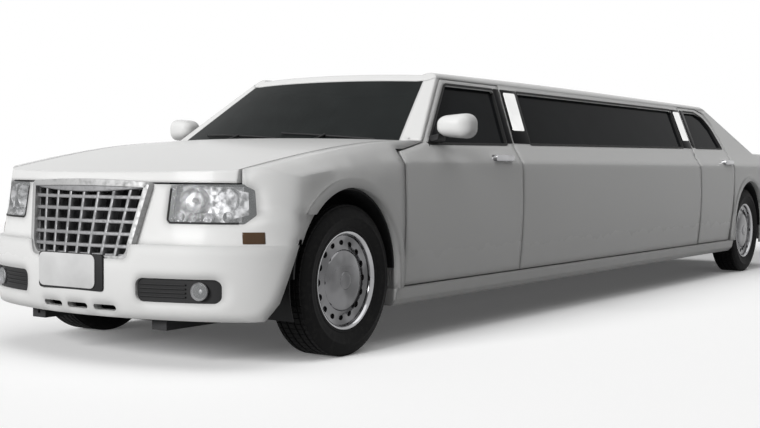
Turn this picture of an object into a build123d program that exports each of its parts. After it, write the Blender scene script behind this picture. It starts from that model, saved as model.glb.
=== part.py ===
"""Stretch limousine: panels, doors, glass, running gear and cabin furniture as separate pieces.

Millimetres. +X is forward, +Y is the car's left, +Z is up, and the ground is z = 0.
"""
import os
from math import atan2, cos, hypot, radians, sin, sqrt, tan

from build123d import *

os.makedirs("parts", exist_ok=True)

# Overall layout
wheelbase = 6096.0
front_overhang = 900.0
rear_overhang = 1051.0
front_axle_x = (front_overhang + wheelbase + rear_overhang) / 2 - front_overhang
rear_axle_x = front_axle_x - wheelbase
wheel_y = 800.0
hub_z = 363.5

# Clearances
shut_gap = 8.0
frame_gap = 14.0
pin_clearance = 0.3
seat_gap = 0.3

# Body side section, from the foot of the doors to the roof rail
door_foot_z = 306.0
side_foot_y = 915.0
side_bulge_y = 938.0
side_bulge_z = 620.0
shoulder_y = 931.0
shoulder_z = 930.0
belt_y = 866.0
belt_z = 1040.0
rail_y = 664.0
rail_z = 1412.0
door_thickness = 120.0
frame_thickness = 38.0
panel_thickness = 42.0
glass_thickness = 6.0

# Windscreen and rear window, as slanted arcs seen in plan
screen_base_x = front_axle_x - 470.0
screen_base_z = 1030.0
screen_arc_radius = 1900.0
screen_run = 600.0
screen_rise = 390.0
rear_light_base_x = rear_axle_x - 330.0
rear_light_base_z = 1075.0
rear_light_arc_radius = 3200.0
rear_light_run = 720.0
rear_light_rise = 340.0

# Doors and side windows, as stations behind the front axle or ahead of the rear axle
front_door_lead = front_axle_x - 455.0
front_door_trail = front_axle_x - 1731.0
rear_door_lead = rear_axle_x + 1266.0
rear_door_trail = rear_axle_x + 446.0
door_top_z = 1404.0
window_top_z = 1366.0
pillar_lean = 140.0
hinge_inset_x = 52.0
hinge_y = 880.0
hinge_pin_radius = 8.0
hinge_heights = (470.0, 820.0)
hinge_leaf_height = 56.0
hinge_pin_reach = 24.0
hinge_nose_radius = hypot(hinge_inset_x, side_bulge_y - hinge_y)
hinge_barrel_radius = 15.0
hinge_strap = 16.0
hinge_neck = 62.0
hinge_reach = 90.0
nose_relief_x = 30.0
nose_relief_y = 45.0

# Wheel arches
front_arch_radius = 412.0
front_arch_x = front_axle_x + 20.0
front_arch_z = 397.0
rear_arch_radius = 408.0
rear_arch_z = 392.0
arch_lip_width = 46.0
arch_lip_y = 944.0
front_well_y = 470.0
rear_well_y = 655.0
liner_thickness = 10.0
liner_fit = 0.2

# Nose and tail, seen in plan at the reference height
plan_ref_z = 650.0
nose_x = front_axle_x + 842.0
nose_corner_x = front_axle_x + 745.0
nose_corner_y = 600.0
nose_side_x = front_axle_x + 400.0
nose_rake = 0.18
bumper_x = front_axle_x + front_overhang
bumper_corner_x = front_axle_x + 798.0
bumper_side_x = front_axle_x + 420.0
tail_x = rear_axle_x - 1015.0
tail_corner_x = rear_axle_x - 950.0
tail_corner_y = 640.0
tail_side_x = rear_axle_x - 640.0
tail_rake = -0.14
rear_bumper_x = rear_axle_x - rear_overhang
rear_bumper_corner_x = rear_axle_x - 985.0
rear_bumper_side_x = rear_axle_x - 660.0
plan_half_width = 1000.0

# Bonnet, boot and bumper seams
bonnet_front_y = 748.0
bonnet_rear_y = 800.0
bonnet_front_z = 832.0
bonnet_rear_x = front_axle_x - 400.0
bonnet_hinge_setback = 19.0
lid_half_width = 655.0
lid_front_x = rear_axle_x - 372.0
lid_bottom_z = 640.0
lid_hinge_setback = 30.0
lid_hinge_depth = 19.0
lid_pin_radius = 7.0
deck_crown_z = 1078.0
bumper_bottom_z = 222.0
bumper_line_z = 556.0
front_side_seam_z = 690.0
rear_side_seam_z = 620.0
bumper_thickness = 48.0
bumper_ledge = 110.0

# Lamps and grille, seen from the front or rear
lamp_depth = 120.0
grille_top_half = 372.0
grille_bottom_half = 308.0
grille_top_z = 818.0
grille_bottom_z = 488.0
grille_bar = 10.0
grille_frame = 20.0
grille_columns = 8
grille_rows = 6
grille_depth = 40.0

# Wheels
tyre_radius = 363.5
rim_radius = 236.0
spindle_radius = 24.0
spindle_depth = 62.0
king_pin_radius = 13.0
arm_low_z = 208.0
arm_high_z = 234.0
arm_root_half = 44.0
arm_tip_half = 20.0

# Underbody and cabin
floor_z = 236.0
floor_thickness = 24.0
floor_half_width = 790.0
frame_rail_y = 400.0
frame_rail_width = 90.0
frame_rail_z = 168.0
frame_rail_height = 68.0
exhaust_top_z = 204.0
tow_eye_z = 195.0
tow_eye_radius = 9.0
tow_eye_depth = 60.0
boot_floor_z = 500.0
sill_bottom_z = 206.0
sill_top_z = 298.0
floor_front_x = front_axle_x - 396.0
floor_rear_x = rear_axle_x + 470.0
tunnel_half = 150.0
tunnel_height = 120.0


def outline(plane, points, radius=0.0):
    """A closed flat outline through the points, its corners rounded if a radius is given."""
    with BuildSketch(plane) as sketch:
        with BuildLine():
            Polyline(*points, close=True)
        make_face()
        if radius:
            fillet(sketch.vertices(), radius)
    return sketch.sketch


def side_prism(points, y_low, y_high, radius=0.0):
    """A prism seen from the side: points are (x, z)."""
    with BuildPart() as prism:
        extrude(outline(Plane.XZ.offset(-y_high), points, radius), amount=y_high - y_low)
    return prism.part


def plan_prism(points, z_low, z_high, radius=0.0):
    """A prism seen from above: points are (x, y)."""
    with BuildPart() as prism:
        extrude(outline(Plane.XY.offset(z_low), points, radius), amount=z_high - z_low)
    return prism.part


def front_prism(points, x_low, x_high, radius=0.0):
    """A prism seen from the front: points are (y, z)."""
    with BuildPart() as prism:
        extrude(outline(Plane.YZ.offset(x_low), points, radius), amount=x_high - x_low)
    return prism.part


def block(x_low, x_high, y_low, y_high, z_low, z_high):
    """A plain box between two corners."""
    with BuildPart() as box:
        with Locations(((x_low + x_high) / 2, (y_low + y_high) / 2, (z_low + z_high) / 2)):
            Box(x_high - x_low, y_high - y_low, z_high - z_low)
    return box.part


def cross_cylinder(x, z, radius, y_low, y_high):
    """A cylinder along Y."""
    with BuildPart() as cylinder:
        with BuildSketch(Plane.XZ.offset(-y_high)):
            with Locations((x, z)):
                Circle(radius)
        extrude(amount=y_high - y_low)
    return cylinder.part


def post(x, y, radius, z_low, z_high):
    """A cylinder along Z."""
    with BuildPart() as cylinder:
        with BuildSketch(Plane.XY.offset(z_low)):
            with Locations((x, y)):
                Circle(radius)
        extrude(amount=z_high - z_low)
    return cylinder.part


def mirrored(part):
    """The same piece on the car's other side."""
    return part.mirror(Plane.XZ)


def both_sides(part):
    """One piece and its mirror image as a pair of solids."""
    with BuildPart() as pair:
        add(part)
        add(mirrored(part))
    return pair.part


def slanted_space(base_x, base_z, arc_radius, run, rise, towards, inset=0.0):
    """All the space behind a slanted curved screen; towards is -1 or 1 along X."""
    half = 1100.0
    low_z = 700.0
    high_z = 1700.0
    shift = inset * hypot(run, rise) / rise
    top_x = base_x + towards * (shift - (base_z - low_z) * run / rise)
    sag = arc_radius - sqrt(arc_radius**2 - half**2)
    edge_x = top_x + towards * sag
    far_x = top_x + towards * 9000.0
    slope = Vector(towards * run / rise, 0, 1)
    with BuildPart() as space:
        with BuildSketch(Plane.XY.offset(low_z)):
            with BuildLine():
                ThreePointArc((edge_x, -half), (top_x, 0), (edge_x, half))
                Polyline((edge_x, half), (far_x, half), (far_x, -half), (edge_x, -half))
            make_face()
        extrude(amount=(high_z - low_z) * slope.length, dir=slope)
    return space.part


def plan_envelope(middle_x, corner_x, corner_y, side_x, rake, ahead, inset=0.0):
    """The nose or tail in plan, leaned by the rake; ahead is 1 for the nose and -1 for the tail."""
    low_z = 0.0
    high_z = 1250.0
    lean = rake * (plan_ref_z - low_z) - ahead * inset
    mid = (middle_x + lean, 0)
    left = (corner_x + lean, corner_y)
    right = (corner_x + lean, -corner_y)
    arc_radius = (corner_y**2 + (middle_x - corner_x) ** 2) / (2 * abs(middle_x - corner_x))
    turn = atan2(corner_y, arc_radius - abs(middle_x - corner_x))
    along = (-ahead * sin(turn), cos(turn))
    side = (side_x + lean, plan_half_width - 60 - inset)
    other = (side_x + lean, -(plan_half_width - 60 - inset))
    back_x = side_x - ahead * 3000.0
    slope = Vector(-rake, 0, 1)
    with BuildPart() as envelope:
        with BuildSketch(Plane.XY.offset(low_z)):
            with BuildLine():
                ThreePointArc(right, mid, left)
                TangentArc(left, side, tangent=along)
                Polyline(side, (back_x, side[1]), (back_x, other[1]), other)
                TangentArc(right, other, tangent=(along[0], -along[1]))
            make_face()
        extrude(amount=(high_z - low_z) * slope.length, dir=slope)
    return envelope.part


def inner_rail():
    """The roof rail and the belt on the inner face of the window frames."""
    run = hypot(belt_y - rail_y, rail_z - belt_z)
    normal_y = -(rail_z - belt_z) / run
    normal_z = -(belt_y - rail_y) / run
    top = (rail_y + frame_thickness * normal_y, rail_z + frame_thickness * normal_z)
    inner_y = shoulder_y - door_thickness
    climb = (top[0] - inner_y) * (rail_z - belt_z) / (belt_y - rail_y)
    return top, (inner_y, top[1] + climb)


def side_wall(x_low, x_high):
    """The left wall of the cabin, from the foot of the doors to the roof rail."""
    rail_in, belt_in = inner_rail()
    with BuildPart() as wall:
        with BuildSketch(Plane.YZ.offset(x_low)):
            with BuildLine():
                ThreePointArc((side_foot_y, door_foot_z), (side_bulge_y, side_bulge_z),
                              (shoulder_y, shoulder_z))
                Polyline((shoulder_y, shoulder_z), (belt_y, belt_z), (rail_y, rail_z), rail_in,
                         belt_in, (belt_in[0], door_foot_z), (side_foot_y, door_foot_z))
            make_face()
        extrude(amount=x_high - x_low)
    return wall.part


def body_section(x_low, x_high, inset):
    """The solid body below the belt with a crowned deck on top, shrunk by the inset."""
    foot = door_foot_z - (300.0 if inset else 0.0)
    foot_y = side_foot_y - inset
    top = belt_z - inset * 0.9
    crown = deck_crown_z - inset
    crest = belt_y - inset * 0.7
    with BuildPart() as body:
        with BuildSketch(Plane.YZ.offset(x_low)):
            with BuildLine():
                ThreePointArc((foot_y, foot), (side_bulge_y - inset, side_bulge_z),
                              (shoulder_y - inset, shoulder_z))
                Line((shoulder_y - inset, shoulder_z), (crest, top))
                ThreePointArc((crest, top), (0, crown), (-crest, top))
                Line((-crest, top), (inset - shoulder_y, shoulder_z))
                ThreePointArc((inset - shoulder_y, shoulder_z), (inset - side_bulge_y, side_bulge_z),
                              (-foot_y, foot))
                Line((-foot_y, foot), (foot_y, foot))
            make_face()
        extrude(amount=x_high - x_low)
    return body.part


# Sections of the nose: station ahead of the front axle, shoulder and wing crest, bonnet crown
NOSE_SECTIONS = [
    # x, shoulder_y, shoulder_z, crest_y, crest_z, crown_z
    (-820.0, 931.0, 930.0, 866.0, 1040.0, 1064.0),
    (-440.0, 931.0, 929.0, 866.0, 1037.0, 1060.0),
    (60.0, 930.0, 900.0, 858.0, 984.0, 1006.0),
    (480.0, 922.0, 848.0, 838.0, 914.0, 938.0),
    (960.0, 902.0, 772.0, 806.0, 822.0, 842.0),
]


def nose_body(inset):
    """The solid nose: sides, wing crests and bonnet lofted, then rounded off in plan."""
    foot = bumper_bottom_z - (200.0 if inset else 0.0)
    with BuildPart() as nose:
        for x, shoulder, shoulder_height, crest, crest_height, crown in NOSE_SECTIONS:
            s_y = shoulder - inset
            c_y = crest - inset * 0.75
            c_z = crest_height - inset * 0.9
            f_y = side_foot_y - inset
            b_y = shoulder + (side_bulge_y - shoulder_y) - inset
            with BuildSketch(Plane.YZ.offset(front_axle_x + x)):
                with BuildLine():
                    ThreePointArc((f_y, foot), (b_y, side_bulge_z), (s_y, shoulder_height))
                    Line((s_y, shoulder_height), (c_y, c_z))
                    ThreePointArc((c_y, c_z), (0, crown - inset), (-c_y, c_z))
                    Line((-c_y, c_z), (-s_y, shoulder_height))
                    ThreePointArc((-s_y, shoulder_height), (-b_y, side_bulge_z), (-f_y, foot))
                    Line((-f_y, foot), (f_y, foot))
                make_face()
        loft()
        add(plan_envelope(nose_x, nose_corner_x, nose_corner_y, nose_side_x, nose_rake, 1, inset),
            mode=Mode.INTERSECT)
    return nose.part


def tail_body(inset):
    """The solid tail behind the rear doors, rounded off in plan."""
    with BuildPart() as tail:
        add(body_section(rear_axle_x - 1300.0, rear_door_trail - shut_gap, inset))
        add(plan_envelope(tail_x, tail_corner_x, tail_corner_y, tail_side_x, tail_rake, -1, inset),
            mode=Mode.INTERSECT)
    return tail.part


# Roof sections: station behind the front axle or ahead of the rear axle, edge and crown heights
ROOF_SECTIONS = [
    # x, edge_z, crown_z
    (front_axle_x - 900.0, 1421.0, 1429.0),
    (front_axle_x - 2300.0, 1451.0, 1482.0),
    (rear_axle_x + 1500.0, 1440.0, 1464.0),
    (rear_axle_x - 100.0, 1420.0, 1425.0),
]
roof_edge_y = 572.0


def roof_body():
    """The roof panel between the rails, before the screens are cut."""
    rail_in, _ = inner_rail()
    with BuildPart() as roof:
        for x, edge, crown in ROOF_SECTIONS:
            in_z = edge - frame_thickness
            with BuildSketch(Plane.YZ.offset(x)):
                with BuildLine():
                    TangentArc((rail_y, rail_z), (roof_edge_y, edge),
                               tangent=(rail_y - belt_y, rail_z - belt_z))
                    ThreePointArc((roof_edge_y, edge), (0, crown), (-roof_edge_y, edge))
                    TangentArc((-rail_y, rail_z), (-roof_edge_y, edge),
                               tangent=(belt_y - rail_y, rail_z - belt_z))
                    Line((-rail_y, rail_z), (-rail_in[0], rail_in[1]))
                    Line((-rail_in[0], rail_in[1]), (-roof_edge_y, in_z))
                    ThreePointArc((-roof_edge_y, in_z), (0, crown - frame_thickness),
                                  (roof_edge_y, in_z))
                    Line((roof_edge_y, in_z), rail_in)
                    Line(rail_in, (rail_y, rail_z))
                make_face()
        loft()
    return roof.part


# Shared forms
behind_screen = slanted_space(screen_base_x, screen_base_z, screen_arc_radius,
                              screen_run, screen_rise, -1)
ahead_of_rear_light = slanted_space(rear_light_base_x, rear_light_base_z, rear_light_arc_radius,
                                    rear_light_run, rear_light_rise, 1)
nose_outer = nose_body(0.0)
nose_inner = nose_body(panel_thickness)
tail_outer = tail_body(0.0)
tail_inner = tail_body(panel_thickness)
cabin_wall = side_wall(rear_axle_x - 700.0, front_axle_x - 300.0)


def lean_x(x, z):
    """The station of a leaning pillar edge at a height, for an edge that is at x on the belt."""
    return x - pillar_lean * (z - belt_z) / (window_top_z - belt_z)


def screen_side_x(z, setback):
    """The station of the windscreen pillar's rear edge at a height."""
    return front_axle_x - setback - (z - 1036.0) * 490.0 / 368.0


# Front door outline with its window, seen from the side
pillar_setback = 722.0
FRONT_DOOR = [
    (front_door_lead, door_foot_z - 60.0),
    (front_door_lead, 985.0),
    (screen_side_x(1036.0, pillar_setback), 1036.0),
    (screen_side_x(door_top_z, pillar_setback), door_top_z),
    (lean_x(front_door_trail, door_top_z), door_top_z),
    (front_door_trail, belt_z),
    (front_door_trail, door_foot_z - 60.0),
]
FRONT_WINDOW = [
    (screen_side_x(1030.0, pillar_setback + 52.0), 1030.0),
    (screen_side_x(window_top_z, pillar_setback + 62.0), window_top_z),
    (lean_x(front_door_trail + 70.0, window_top_z), window_top_z),
    (lean_x(front_door_trail + 70.0, 1046.0), 1046.0),
]
REAR_DOOR = [
    (rear_door_lead, door_foot_z - 60.0),
    (rear_door_lead, belt_z),
    (lean_x(rear_door_lead, door_top_z), door_top_z),
    (rear_axle_x + 726.0, door_top_z),
    (rear_axle_x + 570.0, 1370.0),
    (rear_axle_x + 482.0, 1280.0),
    (rear_door_trail, 1150.0),
    (rear_door_trail, 800.0),
    (rear_axle_x + 530.0, door_foot_z - 60.0),
]
REAR_WINDOW = [
    (lean_x(rear_door_lead - 80.0, 1078.0), 1078.0),
    (lean_x(rear_door_lead - 80.0, window_top_z), window_top_z),
    (rear_axle_x + 760.0, window_top_z),
    (rear_axle_x + 620.0, 1330.0),
    (rear_axle_x + 545.0, 1250.0),
    (rear_axle_x + 512.0, 1082.0),
]
LONG_WINDOW = [
    (front_axle_x - 1962.0, 1052.0),
    (lean_x(front_axle_x - 1962.0, window_top_z), window_top_z),
    (lean_x(rear_axle_x + 1460.0, window_top_z), window_top_z),
    (lean_x(rear_axle_x + 1460.0, 1075.0), 1075.0),
]


def hinge_axis(lead):
    """The upright hinge axis of a left door with this leading edge."""
    return lead - hinge_inset_x, hinge_y


def glass_pane(window):
    """A pane in the middle of the window frame, its edges on the frame."""
    run = hypot(belt_y - rail_y, rail_z - belt_z)
    deep = (frame_thickness - glass_thickness) / 2
    with BuildPart() as pane:
        add(side_prism(window, 600.0, 1000.0, 14.0))
        with BuildSketch(Plane.YZ.offset(rear_axle_x)):
            off_y = (rail_z - belt_z) / run
            off_z = (belt_y - rail_y) / run
            low_y = belt_y + 0.2 * (belt_y - rail_y)
            low_z = belt_z - 0.2 * (rail_z - belt_z)
            with BuildLine():
                Polyline((low_y - deep * off_y, low_z - deep * off_z),
                         (rail_y - deep * off_y, rail_z - deep * off_z),
                         (rail_y - (deep + glass_thickness) * off_y,
                          rail_z - (deep + glass_thickness) * off_z),
                         (low_y - (deep + glass_thickness) * off_y,
                          low_z - (deep + glass_thickness) * off_z), close=True)
            make_face()
        extrude(amount=wheelbase, mode=Mode.INTERSECT)
    return pane.part


def door_leaf(shape, window, lead, corner):
    """A left door: wall cut to its outline, window, hinge pockets and bores, and a pull handle."""
    axis_x, axis_y = hinge_axis(lead)
    with BuildPart() as leaf:
        add(cabin_wall)
        add(side_prism(shape, 500.0, 1100.0, corner), mode=Mode.INTERSECT)
        add(side_prism(window, 500.0, 1100.0, 14.0), mode=Mode.SUBTRACT)
        for z in hinge_heights:
            add(block(axis_x - 22.0, axis_x + 120.0, 700.0, axis_y + 22.0,
                      z - hinge_leaf_height / 2 - 5, z + hinge_leaf_height / 2 + 5), mode=Mode.SUBTRACT)
            add(post(axis_x, axis_y, hinge_pin_radius + pin_clearance,
                     z - hinge_leaf_height / 2 - hinge_pin_reach - 1,
                     z + hinge_leaf_height / 2 + hinge_pin_reach + 1), mode=Mode.SUBTRACT)
        add(block(axis_x + nose_relief_x, axis_x + hinge_inset_x + 1, 0.0, axis_y - nose_relief_y, 0.0,
                  belt_z), mode=Mode.SUBTRACT)
    return leaf.part


def hinge_leaf(lead):
    """A left door's two fixed hinge leaves: a pin, and a strap that goes inwards and then ahead."""
    axis_x, axis_y = hinge_axis(lead)
    with BuildPart() as leaf:
        for z in hinge_heights:
            low = z - hinge_leaf_height / 2
            high = z + hinge_leaf_height / 2
            add(post(axis_x, axis_y, hinge_pin_radius, low - hinge_pin_reach, high + hinge_pin_reach))
            add(post(axis_x, axis_y, hinge_barrel_radius, low, high))
            add(block(axis_x - hinge_strap / 2, axis_x + hinge_strap / 2, axis_y - hinge_neck, axis_y,
                      low, high))
            add(block(axis_x - hinge_strap / 2, axis_x + hinge_reach, axis_y - hinge_neck,
                      axis_y - hinge_neck + hinge_strap, low, high))
    return leaf.part


# Front doors, rear doors and their glass
front_door = door_leaf(FRONT_DOOR, FRONT_WINDOW, front_door_lead, 0.0)
rear_door = door_leaf(REAR_DOOR, REAR_WINDOW, rear_door_lead, 0.0)
HANDLES = [
    # door, station of the middle
    ("front", front_axle_x - 1500.0),
    ("rear", rear_axle_x + 590.0),
]
handle_length = 200.0
handle_height = 30.0
handle_z = 962.0
handle_reach = 26.0
handle_seat = 14.0


def handle(x):
    """A pull handle standing off the door's shoulder."""
    face_y = shoulder_y - handle_seat
    return block(x - handle_length / 2, x + handle_length / 2, face_y - 30.0, face_y + handle_reach,
                 handle_z - handle_height / 2, handle_z + handle_height / 2)


with BuildPart() as front_door_left:
    add(front_door)
    add(handle(HANDLES[0][1]))
with BuildPart() as front_door_right:
    add(mirrored(front_door_left.part))
with BuildPart() as rear_door_left:
    add(rear_door)
    add(handle(HANDLES[1][1]))
with BuildPart() as rear_door_right:
    add(mirrored(rear_door_left.part))

with BuildPart() as front_glass_left:
    add(glass_pane(FRONT_WINDOW))
with BuildPart() as front_glass_right:
    add(mirrored(front_glass_left.part))
with BuildPart() as rear_glass_left:
    add(glass_pane(REAR_WINDOW))
with BuildPart() as rear_glass_right:
    add(mirrored(rear_glass_left.part))
with BuildPart() as long_windows:
    add(both_sides(glass_pane(LONG_WINDOW)))

# The space inside the left wall, for pieces that lie on its outer face
with BuildPart() as cabin_block:
    with BuildSketch(Plane.YZ.offset(front_axle_x - 1700.0)):
        with BuildLine():
            Polyline((0, 900.0), (shoulder_y, 900.0), (shoulder_y, shoulder_z), (belt_y, belt_z),
                     (rail_y, rail_z), (0, rail_z), close=True)
        make_face()
    extrude(amount=1600.0)

# Door mirrors: a foot on the door's belt and a body-coloured shell
mirror_foot_x = front_axle_x - 800.0
mirror_z = 1108.0
mirror_setback = 56.0
mirror_rise = 10.0
with BuildPart() as mirror_left:
    with BuildSketch(Plane.XZ.offset(-(belt_y + 50.0))):
        with Locations((mirror_foot_x - mirror_setback, mirror_z + mirror_rise)):
            RectangleRounded(150.0, 146.0, 46.0)
    extrude(amount=-155.0, taper=8.0)
    add(block(mirror_foot_x - 60.0, mirror_foot_x + 30.0, belt_y - 60.0, belt_y + 60.0,
              mirror_z - 110.0, mirror_z - 40.0))
    add(cabin_block.part, mode=Mode.SUBTRACT)
with BuildPart() as mirror_right:
    add(mirrored(mirror_left.part))

# Stretch side panels between the doors, with the long windows cut
panel_front_x = front_door_trail - shut_gap
panel_rear_x = rear_door_lead + shut_gap
SIDE_PANEL = [
    (panel_front_x, door_foot_z - 60.0),
    (panel_front_x, belt_z - 20.0),
    (lean_x(panel_front_x - frame_gap + shut_gap, belt_z), belt_z),
    (lean_x(panel_front_x - frame_gap + shut_gap, rail_z + 30.0), rail_z + 30.0),
    (lean_x(panel_rear_x, rail_z + 30.0), rail_z + 30.0),
    (panel_rear_x, belt_z),
    (panel_rear_x, door_foot_z - 60.0),
]
with BuildPart() as side_panel:
    add(cabin_wall)
    add(side_prism(SIDE_PANEL, 500.0, 1100.0), mode=Mode.INTERSECT)
    add(side_prism(LONG_WINDOW, 500.0, 1100.0, 14.0), mode=Mode.SUBTRACT)
    axis_x, axis_y = hinge_axis(rear_door_lead)
    add(post(axis_x, axis_y, hinge_nose_radius + shut_gap, 100.0, 1020.0), mode=Mode.SUBTRACT)
with BuildPart() as side_panels:
    add(both_sides(side_panel.part))

# Roof panel, cut by the two screens
with BuildPart() as roof_panel:
    add(roof_body())
    add(behind_screen, mode=Mode.INTERSECT)
    add(ahead_of_rear_light, mode=Mode.INTERSECT)

# Nose: wings, bonnet and bumper cover share one shell
nose_shell = nose_outer - nose_inner
front_arch = cross_cylinder(front_arch_x, front_arch_z, front_arch_radius, 300.0, 1200.0)
front_arch_foot = block(front_arch_x - front_arch_radius, front_arch_x + front_arch_radius,
                        300.0, 1200.0, 0.0, front_arch_z)
rear_arch = cross_cylinder(rear_axle_x, rear_arch_z, rear_arch_radius, 300.0, 1200.0)
rear_arch_foot = block(rear_axle_x - rear_arch_radius, rear_axle_x + rear_arch_radius,
                       300.0, 1200.0, 0.0, rear_arch_z)


def arch_lip(x, z, radius, low_z):
    """The raised flat lip round a left wheel arch."""
    with BuildPart() as lip:
        add(cross_cylinder(x, z, radius + arch_lip_width, side_foot_y - 26.0, arch_lip_y))
        add(block(x - 600.0, x + 600.0, 800.0, 1000.0, low_z, 1200.0), mode=Mode.INTERSECT)
    return lip.part


bonnet_arc_radius = 1900.0
bonnet_sag = bonnet_arc_radius - sqrt(bonnet_arc_radius**2 - bonnet_rear_y**2)
bonnet_side_x = bonnet_rear_x - bonnet_sag
bonnet_nose_x = nose_side_x + 260.0


def bonnet_region(grow):
    """The bonnet's outline from above; grow widens it by the shut gap."""
    with BuildPart() as region:
        with BuildSketch(Plane.XY.offset(700.0)):
            with BuildLine():
                ThreePointArc((bonnet_side_x - 2 * grow, -bonnet_rear_y - grow),
                              (bonnet_rear_x - 2 * grow, 0), (bonnet_side_x - 2 * grow, bonnet_rear_y + grow))
                Polyline((bonnet_side_x - 2 * grow, bonnet_rear_y + grow),
                         (bonnet_nose_x, bonnet_front_y + grow), (nose_x + 400.0, bonnet_front_y + grow),
                         (nose_x + 400.0, -bonnet_front_y - grow), (bonnet_nose_x, -bonnet_front_y - grow),
                         (bonnet_side_x - 2 * grow, -bonnet_rear_y - grow))
            make_face()
        extrude(amount=600.0)
        add(block(-9000.0, 9000.0, -1500.0, 1500.0, bonnet_front_z - grow, 1500.0), mode=Mode.INTERSECT)
    return region.part


bonnet_axis_x = bonnet_side_x + bonnet_hinge_setback
bonnet_axis_z = 1022.0
bonnet_pin_y = bonnet_rear_y - 50.0
bonnet_edge_rise = 20.0
bonnet_swing_radius = hypot(bonnet_hinge_setback, bonnet_edge_rise)
lid_pin_y = lid_half_width - 40.0
lid_axis_x = lid_front_x - lid_hinge_setback
lid_axis_z = deck_crown_z - lid_hinge_depth - 22.0
lid_swing_radius = hypot(lid_hinge_setback, deck_crown_z - lid_axis_z)

with BuildPart() as bonnet:
    add(nose_shell)
    add(bonnet_region(0.0), mode=Mode.INTERSECT)
    for side in (-1, 1):
        add(cross_cylinder(bonnet_axis_x, bonnet_axis_z, lid_pin_radius + pin_clearance,
                           min(side * bonnet_pin_y, side * 900.0), max(side * bonnet_pin_y, side * 900.0)),
            mode=Mode.SUBTRACT)

# Headlamps: outline from the front, inboard edge first
HEADLAMP = [
    (466.0, 650.0), (790.0, 650.0), (826.0, 690.0), (812.0, 800.0), (770.0, 826.0), (466.0, 824.0),
]
GRILLE = [
    (-grille_bottom_half, grille_bottom_z), (grille_bottom_half, grille_bottom_z),
    (grille_top_half, grille_top_z), (-grille_top_half, grille_top_z),
]
grille_corner = 28.0
grille_opening = front_prism(GRILLE, front_axle_x + 500.0, front_axle_x + 1100.0, grille_corner)
lamp_opening = front_prism(HEADLAMP, front_axle_x + 470.0, front_axle_x + 1100.0, 16.0)
lamp_openings = lamp_opening + mirrored(lamp_opening)

wing_front_x = front_axle_x + 610.0
WING = [
    (front_door_lead + shut_gap, sill_top_z), (front_door_lead + shut_gap, 993.0),
    (screen_side_x(1040.0, pillar_setback), 1044.0), (screen_side_x(1040.0, pillar_setback), 1300.0),
    (wing_front_x, 1300.0), (wing_front_x, front_side_seam_z),
    (front_arch_x + 200.0, front_side_seam_z), (front_arch_x, sill_top_z),
]
with BuildPart() as wing:
    add(nose_shell)
    add(side_prism(WING, 500.0, 1100.0), mode=Mode.INTERSECT)
    add(arch_lip(front_arch_x, front_arch_z, front_arch_radius, sill_top_z))
    add(block(front_arch_x - 700.0, front_arch_x + 700.0, 700.0, 1100.0, front_side_seam_z, 1300.0)
        + block(front_arch_x - 1200.0, front_arch_x, 700.0, 1100.0, 100.0, 1300.0), mode=Mode.INTERSECT)
    add(bonnet_region(shut_gap), mode=Mode.SUBTRACT)
    add(front_arch, mode=Mode.SUBTRACT)
    add(front_arch_foot, mode=Mode.SUBTRACT)
    add(lamp_opening, mode=Mode.SUBTRACT)
    add(block(front_axle_x - 900.0, front_axle_x - 380.0, 0.0, 790.0, 900.0, 1300.0), mode=Mode.SUBTRACT)
    axis_x, axis_y = hinge_axis(front_door_lead)
    add(post(axis_x, axis_y, hinge_nose_radius + shut_gap, 100.0, 1000.0), mode=Mode.SUBTRACT)
    add(cross_cylinder(bonnet_axis_x, bonnet_axis_z, bonnet_swing_radius + shut_gap, 0.0,
                       bonnet_rear_y + shut_gap), mode=Mode.SUBTRACT)
    add(cross_cylinder(bonnet_axis_x, bonnet_axis_z, lid_pin_radius, bonnet_pin_y + 1.0, 840.0))
with BuildPart() as front_wings:
    add(both_sides(wing.part))

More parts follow.
